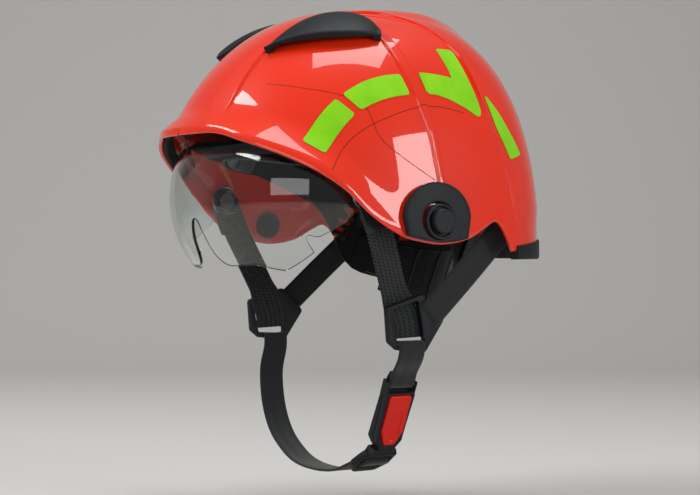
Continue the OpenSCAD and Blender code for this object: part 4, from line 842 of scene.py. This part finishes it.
def build_visor(detail):
    """The lens between its lower outline and upper edge, both faces joined round the edge, with a hub each side."""
    s = np.linspace(-1, 1, detail.visor_columns)
    x = np.sin(s * math.radians(86)) / math.sin(math.radians(86)) * 100.2
    rho = VISOR_R * (1 - np.abs(x / VISOR_W) ** VISOR_POWER) ** (1 / VISOR_POWER)
    low = np.arcsin(clamp((through(np.abs(x), VISOR_EDGE) - PIVOT_Z) / rho, -0.97, 0.5))
    low = np.maximum(low, math.radians(-52))[None, :]
    x = x[None, :]
    angle = mix(low, VISOR_TOP, np.linspace(0, 1, 90)[:, None])
    outer = lens(x, angle, 0.0)
    inner = lens(x * (1 - VISOR_WALL / VISOR_W), angle, -VISOR_WALL)
    mid = lens(x * (1 - VISOR_WALL / VISOR_W / 2), angle, -VISOR_WALL / 2)
    dip = math.radians(0.45)
    bottom = mid[:1] + (lens(x, low - dip, -VISOR_WALL / 2) - lens(x, low, -VISOR_WALL / 2))
    rows = np.concatenate([outer, mid[-1:], inner[::-1], bottom], axis=0)
    pieces = [surface("visor_lens", rows, wrap=False, wrap_rows=True, sharp=50)]
    turn = full_turn(72)[:, None]
    r, out = HUB.T[:, None, :]
    for _, sign in SIDES:
        ring = stacked(sign * out, PIVOT_Y + r * np.cos(turn), PIVOT_Z + r * np.sin(turn))
        pieces.append(surface("visor_hub", ring, wrap_rows=True, sharp=40))
    return join("visor_lens", *pieces)


def build_visor_rim():
    """Rubber bead on the visor's upper edge: an arc 3 degrees deep, carried across."""
    x = np.linspace(-86, 86, 120)
    section = [(0.7, 0.0), (0.9, 0.3), (0.9, 2.6), (0.5, 3.0), (-2.7, 3.0), (-3.1, 2.6), (-3.1, 0.3), (-2.9, 0.0)]
    rows = [lens(x, VISOR_TOP + math.radians(a), g) for g, a in section]
    return surface("visor_bead", np.stack(rows, axis=1), sharp=50)


# ---- webbing and harness -------------------------------------------------------------------------------------

WEB_W, WEB_T = 20.5, 1.8


def ribbon(name, route, across, width=WEB_W, thick=WEB_T, step=1.5):
    """Webbing: a flat section with round selvedges carried along a route. Its width lies along across, less the
    part of across that points along the route; UV is length by way round the section, in mm."""
    route = np.asarray(route, float)
    wish = np.broadcast_to(np.asarray(across, float), route.shape)
    wide = np.broadcast_to(np.asarray(width, float), route.shape[:1])[:, None]
    run = evenly(np.hstack([route, wish, wide]), max(8, int(run_along(route)[-1] / step)))
    path, wish, w = run[:, :3], run[:, 3:6], run[:, 6:] / 2
    ahead = normed(np.gradient(path, axis=0))
    side = normed(wish - ahead * np.einsum("ij,ij->i", wish, ahead)[:, None])
    out = np.cross(ahead, side)
    t = thick / 2
    line = []
    for sign in (1, -1):
        line += [(sign * x, 0, -sign * t) for x in np.linspace(-1, 1, 9)]
        line += [(sign, sign * t * math.sin(a), -sign * t * math.cos(a)) for a in (0.6, 1.2, 1.9, 2.5)]
    flat, bulge, up = np.array(line).T
    reach = flat[None, :] * (w - t) + bulge[None, :]
    grid = path[:, None, :] + side[:, None, :] * reach[..., None] + out[:, None, :] * up[None, :, None]
    loop = stacked(reach[0], up)
    return surface(name, grid, uv=(run_along(path), run_along(np.vstack([loop, loop[:1]]))), sharp=70)


# Inner face of the yokes, the front strap's lean back, and its width above and in the yoke's window
YOKE_IN, FRONT_LEAN, FRONT_WEB_W, FRONT_WEB_WIDE = 91.35, math.radians(23), 21.5, 26


def build_front_strap(side, sign):
    """Open-weave strap from the visor bracket's tab, behind the yoke's upper bar and across its window."""
    d = np.array([math.sin(FRONT_LEAN), -math.cos(FRONT_LEAN)])

    def at(run, x):
        return [sign * x, PIVOT_Y + d[0] * run, PIVOT_Z + d[1] * run]

    run = (PIVOT_Z + 52 - 12) / math.cos(FRONT_LEAN)
    points = [at(12.2, 100.0), at(26, 100.2), at(run * 0.55, mix(100.2, YOKE_IN, 0.4)), at(run * 0.86, YOKE_IN + 0.3),
              at(run, YOKE_IN + 0.1), [sign * (YOKE_IN + 0.5), -12.4, -52], [sign * (YOKE_IN + 0.9), -11.6, -62.5]]
    straps = np.vstack([np.tile([0, -d[1], d[0]], (4, 1)), [[0, 0.96, 0.25], [0, 1, 0.15], [0, 1, 0.1]]])
    route, across = curve(points, 12), curve(straps, 12)
    width = np.concatenate([np.full(36, FRONT_WEB_W), np.linspace(FRONT_WEB_W, FRONT_WEB_WIDE, 12),
                            np.full(len(route) - 48, FRONT_WEB_WIDE)])
    return ribbon("front_webbing_" + side, route, across, width)


def build_rear_strap(side, sign):
    """Strap from the anchor inside the rear edge to the slot in the yoke, where it turns in over the plate's face."""
    top, low = np.array([93, 79, 19.0]), np.array([98.9, 4.6, -46.4])
    d = normed(low[1:] - top[1:])
    points = [top] + [mix(top, low, t) + [out, 0, 0] for t, out in ((0.5, 1.0), (0.8, 0.6), (0.95, 0.2))]
    points += [low + [-0.3, 0.4, 0.3], low + [-2.2, -0.9, -0.9]]
    route = np.vstack([top - np.array([0, *d]) * 6, curve(points, 12)]) * [sign, 1, 1]
    return ribbon("rear_webbing_" + side, route, (0, -d[1], d[0]))


RAYS, SLAB_POINTS = 200, 160
# Quarter circle for rounded edges, as how far it has gone in and how far down
QUARTER = [(math.sin(a), 1 - math.cos(a)) for a in (0, math.pi / 6, math.pi / 3, math.pi / 2)]


def polar_pair(outer, inner, centre):
    """Two outlines sampled along the same rays from a centre inside both."""
    rays = np.linspace(-np.pi, np.pi, RAYS, endpoint=False)
    found = []
    for line in (outer, inner):
        q = evenly(line, 900, closed=True) - centre
        angle, far = np.arctan2(q[:, 1], q[:, 0]), np.hypot(q[:, 0], q[:, 1])
        order = np.argsort(angle)
        angle, far = angle[order], far[order]
        found.append(np.interp(rays, np.concatenate([angle - 2 * np.pi, angle, angle + 2 * np.pi]), np.tile(far, 3)))
    return rays, *found


def framed_plate(outer, inner, centre, low, high, bevel):
    """Plate with one window, between two heights: a section with rounded edges carried round the window."""
    rays, far, near = polar_pair(outer, inner, np.array(centre, float))
    edge = [(bevel * (1 - s), bevel * c) for s, c in QUARTER]
    section = [(far - i, high - d) for i, d in edge] + [(far - i, low + d) for i, d in edge[::-1]]
    section += [(near + i, low + d) for i, d in edge] + [(near + i, high - d) for i, d in edge[::-1]]
    return np.stack([stacked(h, centre[0] + r * np.cos(rays), centre[1] + r * np.sin(rays)) for r, h in section])


def slab(outline, low, high, bevel):
    """Solid plate: rings of its outline run over the low face, round the edge and over the high face."""
    line = evenly(outline, SLAB_POINTS, closed=True)
    mid = line.mean(axis=0)
    along = np.roll(line, -1, 0) - np.roll(line, 1, 0)
    normal = normed(stacked(along[:, 1], -along[:, 0]))
    area = np.sum(line[:, 0] * np.roll(line[:, 1], -1) - np.roll(line[:, 0], -1) * line[:, 1])
    normal *= 1 if area > 0 else -1
    core = mid + (line - mid) * 0.02
    edge = [(bevel * c, line - normal * bevel * (1 - s)) for s, c in QUARTER]
    rings = [(low, core)] + [(low + d, q) for d, q in edge] + [(high - d, q) for d, q in edge[::-1]] + [(high, core)]
    return np.stack([np.insert(q, 0, x, axis=1) for x, q in rings])


YOKE_OUTLINE = [(-22, 11), (9, 20), (27.5, 2), (11, -21), (-13, -18.5), (-20, -13)]
YOKE_WINDOW = [(-18.2, 9.0), (4.5, 15.6), (10.2, -15.5), (-13.0, -14.5)]


def build_yoke(side, sign):
    """Five-sided junction plate of the harness: its front face is bevelled round the edge and round the window."""
    centre = (-2, 0.5)
    plate = framed_plate(rounded(YOKE_OUTLINE, 3), rounded(YOKE_WINDOW, 2), centre, 92.5, 97.5, 1.4)
    window = np.array(YOKE_WINDOW, float)
    grown = window.mean(0) + (window - window.mean(0)) * 1.12
    rim = framed_plate(rounded(grown, 2.4), rounded(window, 2), centre, 94.0, 97.9, 0.5)
    lip = slab(rounded([(8.2, 10.0), (9.6, 11.2), (21.3, 1.1), (20.0, -0.6)], 0.6), 96.5, 97.9, 0.4)
    parts = [((g + [0, -9, -52]) * [sign, 1, 1], ring) for g, ring in ((plate, True), (rim, True), (lip, False))]
    return moulded("yoke_plate_" + side, parts, sharp=35)


BUCKLE_AT, BUCKLE_LEAN, FRAME_LEAN, BUCKLE_L, BUCKLE_W = np.array([72.5, -10, -116]), 24.0, 35.0, 54.0, 24.0


def leaned(p, degrees):
    """Turn about the y axis."""
    c, s = math.cos(math.radians(degrees)), math.sin(math.radians(degrees))
    return stacked(p[..., 0] * c + p[..., 2] * s, p[..., 1], p[..., 2] * c - p[..., 0] * s)


def buckle_world(p):
    """From the buckle's own frame, x out of its face and z up its length."""
    return BUCKLE_AT + leaned(np.asarray(p, float), BUCKLE_LEAN)


def bars_world(p):
    """From the frame of the tongue's bars, which lean further under the chin."""
    return buckle_world(np.array([0, 0, -BUCKLE_L / 2 - 4]) + leaned(np.asarray(p, float), FRAME_LEAN))


def housing_outline(low, high):
    """Face outline of the housing between two heights: wider at its top, with both lower corners cut off."""
    w = BUCKLE_W / 2
    return rounded([(-w + 1.2, low + 7), (-w * 0.5, low), (w * 0.5, low), (w - 1.2, low + 7), (w, high - 5), (w, high),
                    (-w, high), (-w, high - 5)], 1.5)


def button_outline(grow=0.0):
    """Outline of the press button: wide at its top, tapering to a cut-off lower end."""
    w, l = 9.1 + grow, 19.6 + grow
    return rounded([(-w, -l * 0.45), (-w * 0.5, -l), (w * 0.5, -l), (w, -l * 0.45), (w, l), (-w, l)], 2)


def rod(x, z, deep, high, half):
    """Bar along y about a middle line at x and z: an ellipse of two radii, carried half its length each way."""
    turn = full_turn(20)[None, :]
    y = np.linspace(-half, half, 12)[:, None]
    return stacked(deep * np.cos(turn) + x, y, z + high * np.sin(turn))


BUTTON_DROP = 3


def build_housing():
    """Back shell that deepens towards its lower end, front frame round the button, two arms beside the strap and the
    bar that the strap is sewn round."""
    low, high, top = -BUCKLE_L / 2, 18.4, BUCKLE_L / 2
    back = slab(housing_outline(low, high), -6, 0.6, 1.2)
    deep = mix(1.25, 0.45, clamp((back[..., 2] - low) / (high - low), 0, 1))
    back[..., 0] = np.where(back[..., 0] < 0, back[..., 0] * deep, back[..., 0])
    opening = button_outline(0.3) + [0, -BUTTON_DROP]
    face = framed_plate(housing_outline(low, high), opening, (0, -BUTTON_DROP), 0.7, 6, 1.0)
    arm = np.array([(10.6, high - 4), (12.0, high - 4), (12.1, top - 1), (10.7, top)])
    solids = [slab(rounded(arm * [sign, 1], 0.5), -3.2, 5.2, 0.5) for _, sign in SIDES]
    solids.append(rod(0.6, 23.4, 1.3, 1.3, 11.4))
    parts = [(back, False), (face, True)] + [(solid, False) for solid in solids]
    return moulded("buckle_body", [(buckle_world(g), ring) for g, ring in parts])


def build_button():
    """Press button: its outline drawn in over a rounded edge, then a face with a long U sunk for the thumb. The U is
    all within 5.3 mm of a line down the middle, and fades out from 1 mm below the button's centre to 9 mm above it."""
    line = evenly(button_outline(), 220, closed=True)
    rows = [np.insert(line * k, 0, x, axis=1) for k, x in ((1.0, 3.3), (1.0, 6.0), (0.985, 6.6), (0.955, 7.0))]
    for k in np.linspace(0.92, 0.02, 56):
        q = line * k
        off = np.hypot(q[:, 0], q[:, 1] - clamp(q[:, 1], -11.5, 30))
        sunk = 0.85 * (1 - ramp(4.5, 5.3, off)) * (1 - ramp(-1, 9, q[:, 1]))
        rows.append(np.insert(q, 0, 7.15 - 0.25 * (1 - k) - sunk, axis=1))
    grid = np.stack(rows, axis=0) - [0, 0, BUTTON_DROP]
    return surface("red_button", buckle_world(grid), sharp=60)


SPRING_ENDS = (-2.35, 2.85)
SPRING_R, WIRE_R, SPRING_TURNS = 2.6, 0.35, 4.5


def build_spring():
    """Coil under the button: a round wire on a helix that climbs evenly from the pocket's floor to the button."""
    t = np.linspace(0, 1, 136)[:, None]
    wire = full_turn(12)[None, :]
    turn, reach = 2 * math.pi * SPRING_TURNS * t, SPRING_R + WIRE_R * np.cos(wire)
    grid = stacked(mix(*SPRING_ENDS, t) + WIRE_R * np.sin(wire), reach * np.cos(turn), 14 + reach * np.sin(turn))
    return surface("coil_spring", buckle_world(grid), sharp=60)


def build_tongue():
    """Tongue: prong and shoulder, then the D-shaped ladder frame whose cross bar carries the chin strap."""
    low = -BUCKLE_L / 2
    prong = rounded([(-6.5, low - 1.5), (6.5, low - 1.5), (6.5, low + 22.5), (-6.5, low + 22.5)], 1)
    shoulder = rounded([(-9.5, low - 0.35), (9.5, low - 0.35), (12, low - 6), (-12, low - 6)], 1.2)
    frame_line = rounded([(-14, 0), (-16, -17.4), (-9.6, -29), (9.6, -29), (16, -17.4), (14, 0)], 4)
    window = rounded([(-10.9, -5.2), (10.9, -5.2), (10.9, -20.2), (-10.9, -20.2)], 1.2)
    ladder = framed_plate(frame_line, window, (0, -12.7), -2.6, 2.8, 1.8)
    bar = rod(0.4, -12.6, 1.6, 2.4, 11.6)
    return moulded("buckle_tongue_piece", [
        (buckle_world(slab(prong, -4.3, -1.3, 0.4)), False), (buckle_world(slab(shoulder, -5.0, 4.6, 1.4)), False),
        (bars_world(ladder), True), (bars_world(bar), False)])


CHIN = [(20, -14, -161), (5, -16, -163), (-10, -17, -163), (-25, -17.5, -161.5), (-39, -17.5, -158), (-54, -17, -151),
        (-67, -16.5, -142), (-78, -15.5, -129), (-86, -14, -113), (-90.5, -12, -95)]


def build_chin_strap():
    """The long strap: over the tongue's cross bar, out behind its frame, under the chin and up to the right-hand
    yoke."""
    bars = [(-0.4, -18.2), (2.2, -17.2), (3.5, -14.6), (3.7, -11.6), (2.6, -9.3), (0.2, -8.6), (-2.4, -9.4),
            (-3.9, -12.5), (-4.3, -19), (-4.3, -28)]
    start = [bars_world([x, 0, z]) for x, z in bars]
    end = [(-YOKE_IN, -8, -78), (-YOKE_IN, -8, -67)]
    route = np.vstack([curve(start, 8)[:-1], curve([start[-1]] + CHIN + end, 14)])
    return ribbon("chin_webbing", route, (0, 1, 0), step=1.1)


def build_buckle_strap():
    """Short strap: from the gap at the foot of the left yoke's window out over its lower bar, down to the buckle and
    round the bar between the buckle's arms."""
    bars = [(3.0, 33), (3.1, 27), (3.0, 24.2), (2.2, 22.0), (0.5, 21.2), (-1.2, 22.0), (-1.7, 24.2), (-1.2, 28),
            (0.6, 33)]
    top = [(93.6, -10.6, -65.6), (96.2, -10.6, -64.9), (98.5, -10.6, -66.4), (98.4, -10.5, -71), (95.8, -10.3, -78)]
    points = [np.array(p, float) for p in top] + [buckle_world([x, 0, z]) for x, z in bars]
    return ribbon("buckle_webbing", curve(points, 12), (0, 1, 0), width=FRONT_WEB_W, step=0.9)


# ---- headband ------------------------------------------------------------------------------------------------

BAND_R, BAND_FRONT, BAND_Y, BAND_Z, BAND_TILT, BAND_T = 78.0, 128.0, 21.0, 11.0, 22.0, 2.2
BAND_LOW = curve([(46, -15), (61, -15), (71, -7), (81, 8), (94, 21), (104, 27), (114, 27), (129, 15), (152, 6),
                  (180, 4)], 4)
BAND_HIGH = curve([(46, 15), (61, 16), (71, 21), (81, 31), (94, 41), (104, 45), (114, 44), (129, 38), (152, 32),
                   (180, 30)], 4)


def band_height(angle, v):
    """Height in the band's frame at an angle in degrees from the nape: a share v of the way up its width."""
    a = np.abs(angle)
    a = np.where(a > 180, 360 - a, a)
    return mix(np.interp(a, *BAND_LOW.T), np.interp(a, *BAND_HIGH.T), v)


def band_world(p):
    """From the headband's tilted frame, z up out of its plane and y to the nape."""
    a = math.radians(BAND_TILT)
    return stacked(p[..., 0], BAND_Y + p[..., 1] * math.cos(a) + p[..., 2] * math.sin(a),
                   BAND_Z - p[..., 1] * math.sin(a) + p[..., 2] * math.cos(a))


def band_point(angle, grow, z):
    """Point of the band at an angle in degrees from the nape, grown outwards and z up its width."""
    angle = np.radians(angle)
    half = np.where(np.cos(angle) > 0, BAND_R, BAND_FRONT)
    return band_world(stacked((BAND_R + grow) * np.sin(angle), (half + grow) * np.cos(angle), z))


def build_pad(name, first, last, grow, thick, low, high, channels):
    """Sewn pad on the inside of the band: a crowned section that thins at its ends and at each sewn channel. low and
    high are its edges as functions of the angle."""
    a = np.linspace(first, last, 140)[:, None]
    ends = np.sqrt(clamp(1 - np.abs((a - (first + last) / 2) / ((last - first) / 2)) ** 6, 0.02, 1))
    sewn = 1 - 0.45 * sum(np.exp(-((a - c) / 1.1) ** 2) for c in channels)
    t = full_turn(40)[None, :]
    crown = np.sign(np.cos(t)) * np.abs(np.cos(t)) ** 0.75
    depth = grow - thick / 2 + crown * thick / 2 * ends * np.where(crown < 0, sewn, 1)
    lift_by = np.sign(np.sin(t)) * np.abs(np.sin(t)) ** 0.55 * mix(0.9, 1, ends)
    z = (low(a) + high(a)) / 2 + (high(a) - low(a)) / 2 * lift_by
    return surface(name, band_point(a, depth, z), sharp=70)


# The liner's foam at the crown, the cradle's clearance inside it, and the cradle's webbing
FOAM, CRADLE_GAP, CRADLE_W, CRADLE_T = 26, 5.4, 16, 1.4


def build_cradle():
    """Two straps that cross under the crown, each lying along the dome inside the liner and clear of the visor."""
    grow, depth = BAND_T + 0.25 + 0.7, -(WALL + LINER_GAP + FOAM) - CRADLE_GAP

    def laid(xy):
        return clear_of_visor(place(unit_xy(xy[:, 0], xy[:, 1], depth), depth), SWEEP_GAP + SWEEP_FOAM + CRADLE_GAP, 12)

    def half(a, sink):
        base = band_point(a, grow, band_height(a, 1) + 2)
        left = 0.985 * (1 - (np.linspace(1, 9, 33) / 9) ** 1.3)
        xy = mix(np.array([0, CENTRE]), base[:2], left[:, None])
        level = normed(np.array([CENTRE - base[1], base[0]]))
        tangent = normed(band_point(a + 1, 0, 0) - band_point(a - 1, 0, 0))
        level *= np.sign(level @ tangent[:2]) * 5
        side = normed(laid(xy + level) - laid(xy - level))
        route = np.vstack([band_point(a, grow, band_height(a, 0.2)), base, laid(xy) - [0, 0, sink]])
        return route, np.vstack([tangent, tangent, side])

    made = []
    for a, b, sink in ((60, -128, 0.0), (-60, 128, 1.65)):
        route, across = half(a, sink)
        other, back = half(b, sink)
        made.append(ribbon("cradle", np.vstack([route, other[-2::-1]]), np.vstack([across, -back[-2::-1]]), CRADLE_W,
                           CRADLE_T, 3))
    return join("crown_straps", *made)


# ---- operators -----------------------------------------------------------------------------------------------

class HelmetLook(PropertyGroup):
    """Colours, sRGB."""
    shell_hex: StringProperty(name="Shell", description="Lacquer colour", default="#E22C0C")
    trim_hex: StringProperty(name="Trim", description="Colour of the moulded trim", default="#191B1E")
    film_hex: StringProperty(name="Film", description="Lighter colour of the reflective film", default="#8AD41A")
    film_low_hex: StringProperty(name="Film, low", description="Darker colour of the film", default="#7CC80E")
    button_hex: StringProperty(name="Button", description="Colour of the press button", default="#CC1606")


class HelmetDetail(PropertyGroup):
    """Counts of the finest meshes."""
    shell_columns: IntProperty(name="Shell columns", description="Points from the edge up to the crease",
                               default=36, min=12)
    shell_rows: IntProperty(name="Shell rows", description="Sections from brow to ear, and again from ear to nape",
                            default=210, min=60)
    visor_columns: IntProperty(name="Visor columns", description="Points across the visor", default=260, min=60)


class HelmetStage(PropertyGroup):
    """Camera and lights."""
    azimuth: FloatProperty(name="Azimuth", description="Camera's turn from the front", default=math.radians(57),
                           subtype="ANGLE")
    distance: FloatProperty(name="Distance", description="Camera's distance", default=1.19, unit="LENGTH")
    lens: FloatProperty(name="Lens", description="Focal length on a 36 mm frame", default=82.29, unit="CAMERA")
    floor: FloatProperty(name="Floor", description="Height of the floor", default=-0.2, unit="LENGTH")
    daylight: FloatProperty(name="Daylight", description="Strength of the surround", default=0.3, min=0)


# The photograph is 700 pixels wide, and its middle lies 3 pixels beside the helmet's. The lamps aim at one point.
PHOTO_WIDTH, SHIFT_PIXELS = 700, 3
LAMPS_AIM = np.array([0, 0, 0.05])

materials = {}


class PieceOperator:
    """Shared by all operators that make a piece."""
    bl_options = {"REGISTER", "UNDO"}


class HELMET_OT_shell(PieceOperator, Operator):
    """Lacquered outer shell"""
    bl_idname = "helmet.shell"
    bl_label = "Shell"

    def execute(self, context):
        put(build_shell(context.scene.helmet_detail), materials["shell"], "helmet", "outer_shell", slot="shell_red")
        return {"FINISHED"}


class HELMET_OT_liner(PieceOperator, Operator):
    """Foam liner, rear trim and brow seal"""
    bl_idname = "helmet.liner"
    bl_label = "Liner and edges"

    def execute(self, context):
        put(build_liner(), materials["foam"], "helmet", "impact_liner", slot="foam")
        put(build_trim(), materials["trim"], "helmet", "rear_edge_trim", slot="trim_black")
        put(build_seal(), materials["rubber"], "helmet", "brow_seal", slot="rubber_black")
        return {"FINISHED"}


class HELMET_OT_covers(PieceOperator, Operator):
    """Vent hoods, side plates and film strips"""
    bl_idname = "helmet.covers"
    bl_label = "Covers and strips"

    def execute(self, context):
        for side, sign in SIDES:
            # Strips of painted shade along the shell's joints.
            put(build_hairlines(side, sign), materials["joint"], "helmet", slot="shell_red")
            put(build_vent_cover(side, sign), materials["trim"], "helmet", "vent_cover_" + side, slot="trim_black")
            put(build_side_plate(side, sign), materials["trim"], "helmet", "side_plate_" + side, slot="trim_black")
            put(build_strips(side, sign), materials["film"], "helmet", "reflective_strips_" + side,
                slot="reflective_lime")
        return {"FINISHED"}


class HELMET_OT_visor(PieceOperator, Operator):
    """Clear visor with its rubber bead"""
    bl_idname = "helmet.visor"
    bl_label = "Visor"

    def execute(self, context):
        put(build_visor(context.scene.helmet_detail), materials["clear"], "visor", "visor", slot="clear_visor")
        put(build_visor_rim(), materials["rubber"], "visor", "visor_rim", slot="rubber_black")
        return {"FINISHED"}


class HELMET_OT_harness(PieceOperator, Operator):
    """Webbing, junction plates and the button's spring"""
    bl_idname = "helmet.harness"
    bl_label = "Harness"

    def execute(self, context):
        for side, sign in SIDES:
            put(build_front_strap(side, sign), materials["weave"], "helmet", "front_strap_" + side, slot="webbing")
            put(build_rear_strap(side, sign), materials["webbing"], "helmet", "rear_strap_" + side, slot="webbing")
            put(build_yoke(side, sign), materials["trim"], "helmet", "yoke_" + side, slot="trim_black")
        put(build_buckle_strap(), materials["webbing"], "helmet", "buckle_strap", slot="webbing")
        spring = build_spring()
        spring.data.materials.append(materials["steel"])
        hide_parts("button_spring")
        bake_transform(spring)
        strap = build_chin_strap()
        strap.data.materials.append(materials["webbing"])
        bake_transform(strap)
        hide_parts("chin_strap")
        return {"FINISHED"}


class HELMET_OT_buckle(PieceOperator, Operator):
    """Buckle body, press button and tongue"""
    bl_idname = "helmet.buckle"
    bl_label = "Buckle"

    def execute(self, context):
        put(build_housing(), materials["trim"], "helmet", "buckle_housing", slot="trim_black")
        put(build_button(), materials["button"], "press_button", "buckle_button", slot="button_red")
        put(build_tongue(), materials["trim"], "tongue", "buckle_tongue", slot="trim_black")
        return {"FINISHED"}


class HELMET_OT_headband(PieceOperator, Operator):
    """Pads and crown straps, and finishes for the moulded headband parts"""
    bl_idname = "helmet.headband"
    bl_label = "Headband"

    def execute(self, context):
        brow = build_pad("brow_cushion", 132, 228, -0.3, 6, lambda a: band_height(a, 0.03),
                         lambda a: band_height(a, 0.97), (150, 165, 180, 195, 210))
        nape = build_pad("nape_cushion", -42, 42, -5.95, 6.9, lambda a: -28.4, lambda a: 12.4, (-21, 0, 21))
        put(brow, materials["knit"], "helmet", "brow_pad", slot="pad_grey")
        put(nape, materials["knit"], "helmet", "nape_pad", slot="pad_grey")
        put(build_cradle(), materials["webbing"], "helmet", "crown_cradle", slot="webbing")
        for node, obj in frame["nodes"].items():
            if node.startswith(("visor_pin", "size_pinion")):
                finish = "steel"
            elif node.startswith(("side_port", "port_washer", "rear_anchor", "size_wheel", "visor_bracket")):
                finish = "trim"
            else:
                finish = "inner"
            for slot in obj.material_slots:
                slot.material = materials[finish]
        return {"FINISHED"}


class HELMET_OT_stage(PieceOperator, Operator):
    """Pale sweep, soft lamps and the camera"""
    bl_idname = "helmet.stage"
    bl_label = "Stage"

    def execute(self, context):
        stage = context.scene.helmet_stage
        scene = context.scene
        scene.view_settings.view_transform = "Standard"
        a = stage.azimuth
        camera = bpy.data.cameras.new("camera")
        camera.lens, camera.sensor_width, camera.clip_end = stage.lens, 36, 50
        camera.shift_x = SHIFT_PIXELS / PHOTO_WIDTH
        eye = bpy.data.objects.new("camera", camera)
        eye.location = (stage.distance * math.sin(a), -stage.distance * math.cos(a), 0)
        eye.rotation_euler = (math.pi / 2, 0, a)
        scene.collection.objects.link(eye)
        scene.camera = eye

        # Pale matt board turned to face the camera: a floor 3.6 m deep, a quarter round of 0.9 m and a wall of 2.5 m.
        run = np.linspace(0, 1, 60)
        t = clamp((run - 0.45) / 0.25, 0, 1) * math.pi / 2
        out = np.where(run < 0.45, -2.2 + run / 0.45 * 3.6, 1.4 + 0.9 * np.sin(t))
        up = np.where(run < 0.45, 0, 0.9 * (1 - np.cos(t))) + clamp((run - 0.7) / 0.3, 0, 1) * 2.5
        across = np.linspace(-3.5, 3.5, 9)
        far, right = np.array([-math.sin(a), math.cos(a)]), np.array([math.cos(a), math.sin(a)])
        xy = out[:, None, None] * far + across[None, :, None] * right
        sweep = np.concatenate([xy, np.broadcast_to((up + stage.floor)[:, None, None], xy.shape[:2] + (1,))], -1)
        board = surface("sweep", sweep / MM, wrap=False, cap=False, sharp=180)
        matt, tree, shader = new_material("pale_board", "#C9C7C3", 0.9, {"Specular IOR Level": 0.1})
        varied(tree, shader, pattern(tree, NOISE, Scale=300.0), 0.86, 0.94)
        board.data.materials.append(matt)

        world = bpy.data.worlds.new("surround")
        scene.world = world
        world.use_nodes = True
        surround = world.node_tree.nodes["Background"].inputs
        surround["Color"].default_value = hex_linear("#DDE0E4")
        surround["Strength"].default_value = stage.daylight
        for name, where_to, size, power in (
            ("key", (-0.5, -1.5, 1.5), (1.0, 0.8), 29),
            ("side", (1.7, 0.7, 0.5), (0.5, 1.0), 14),
            ("top", (0.1, 0.2, 1.6), (0.9, 0.9), 14),
            ("fill", (1.2, -1.6, 0.35), (1.5, 0.6), 7),
        ):
            lamp = bpy.data.lights.new(name, "AREA")
            lamp.shape, lamp.size, lamp.size_y, lamp.energy = "RECTANGLE", size[0], size[1], power
            obj = bpy.data.objects.new(name, lamp)
            obj.location = where_to
            d = LAMPS_AIM - where_to
            obj.rotation_euler = (math.acos(-d[2] / np.linalg.norm(d)), 0, math.atan2(d[1], d[0]) - math.pi / 2)
            scene.collection.objects.link(obj)
        return {"FINISHED"}


class HELMET_PT_parts(Panel):
    """Lists the operators in the sidebar"""
    bl_label = "Helmet"
    bl_space_type = "VIEW_3D"
    bl_region_type = "UI"
    bl_category = "Helmet"

    def draw(self, context):
        for op in OPERATORS:
            self.layout.operator(op.bl_idname)
        for group in (context.scene.helmet_look, context.scene.helmet_detail, context.scene.helmet_stage):
            for name in group.__annotations__:
                self.layout.prop(group, name)


GROUPS = (HelmetLook, HelmetDetail, HelmetStage)
OPERATORS = (HELMET_OT_stage, HELMET_OT_shell, HELMET_OT_liner, HELMET_OT_covers, HELMET_OT_visor, HELMET_OT_harness,
             HELMET_OT_buckle, HELMET_OT_headband)


def register():
    for cls in GROUPS + OPERATORS + (HELMET_PT_parts,):
        bpy.utils.register_class(cls)
    bpy.types.Scene.helmet_look = PointerProperty(type=HelmetLook)
    bpy.types.Scene.helmet_detail = PointerProperty(type=HelmetDetail)
    bpy.types.Scene.helmet_stage = PointerProperty(type=HelmetStage)


def unregister():
    for name in ("helmet_look", "helmet_detail", "helmet_stage"):
        delattr(bpy.types.Scene, name)
    for cls in reversed(GROUPS + OPERATORS + (HELMET_PT_parts,)):
        bpy.utils.unregister_class(cls)


def main():
    register()
    materials.update(make_materials(bpy.context.scene.helmet_look))
    for op in OPERATORS:
        group, name = op.bl_idname.split(".")
        getattr(getattr(bpy.ops, group), name)()


if __name__ == "__main__":
    main()
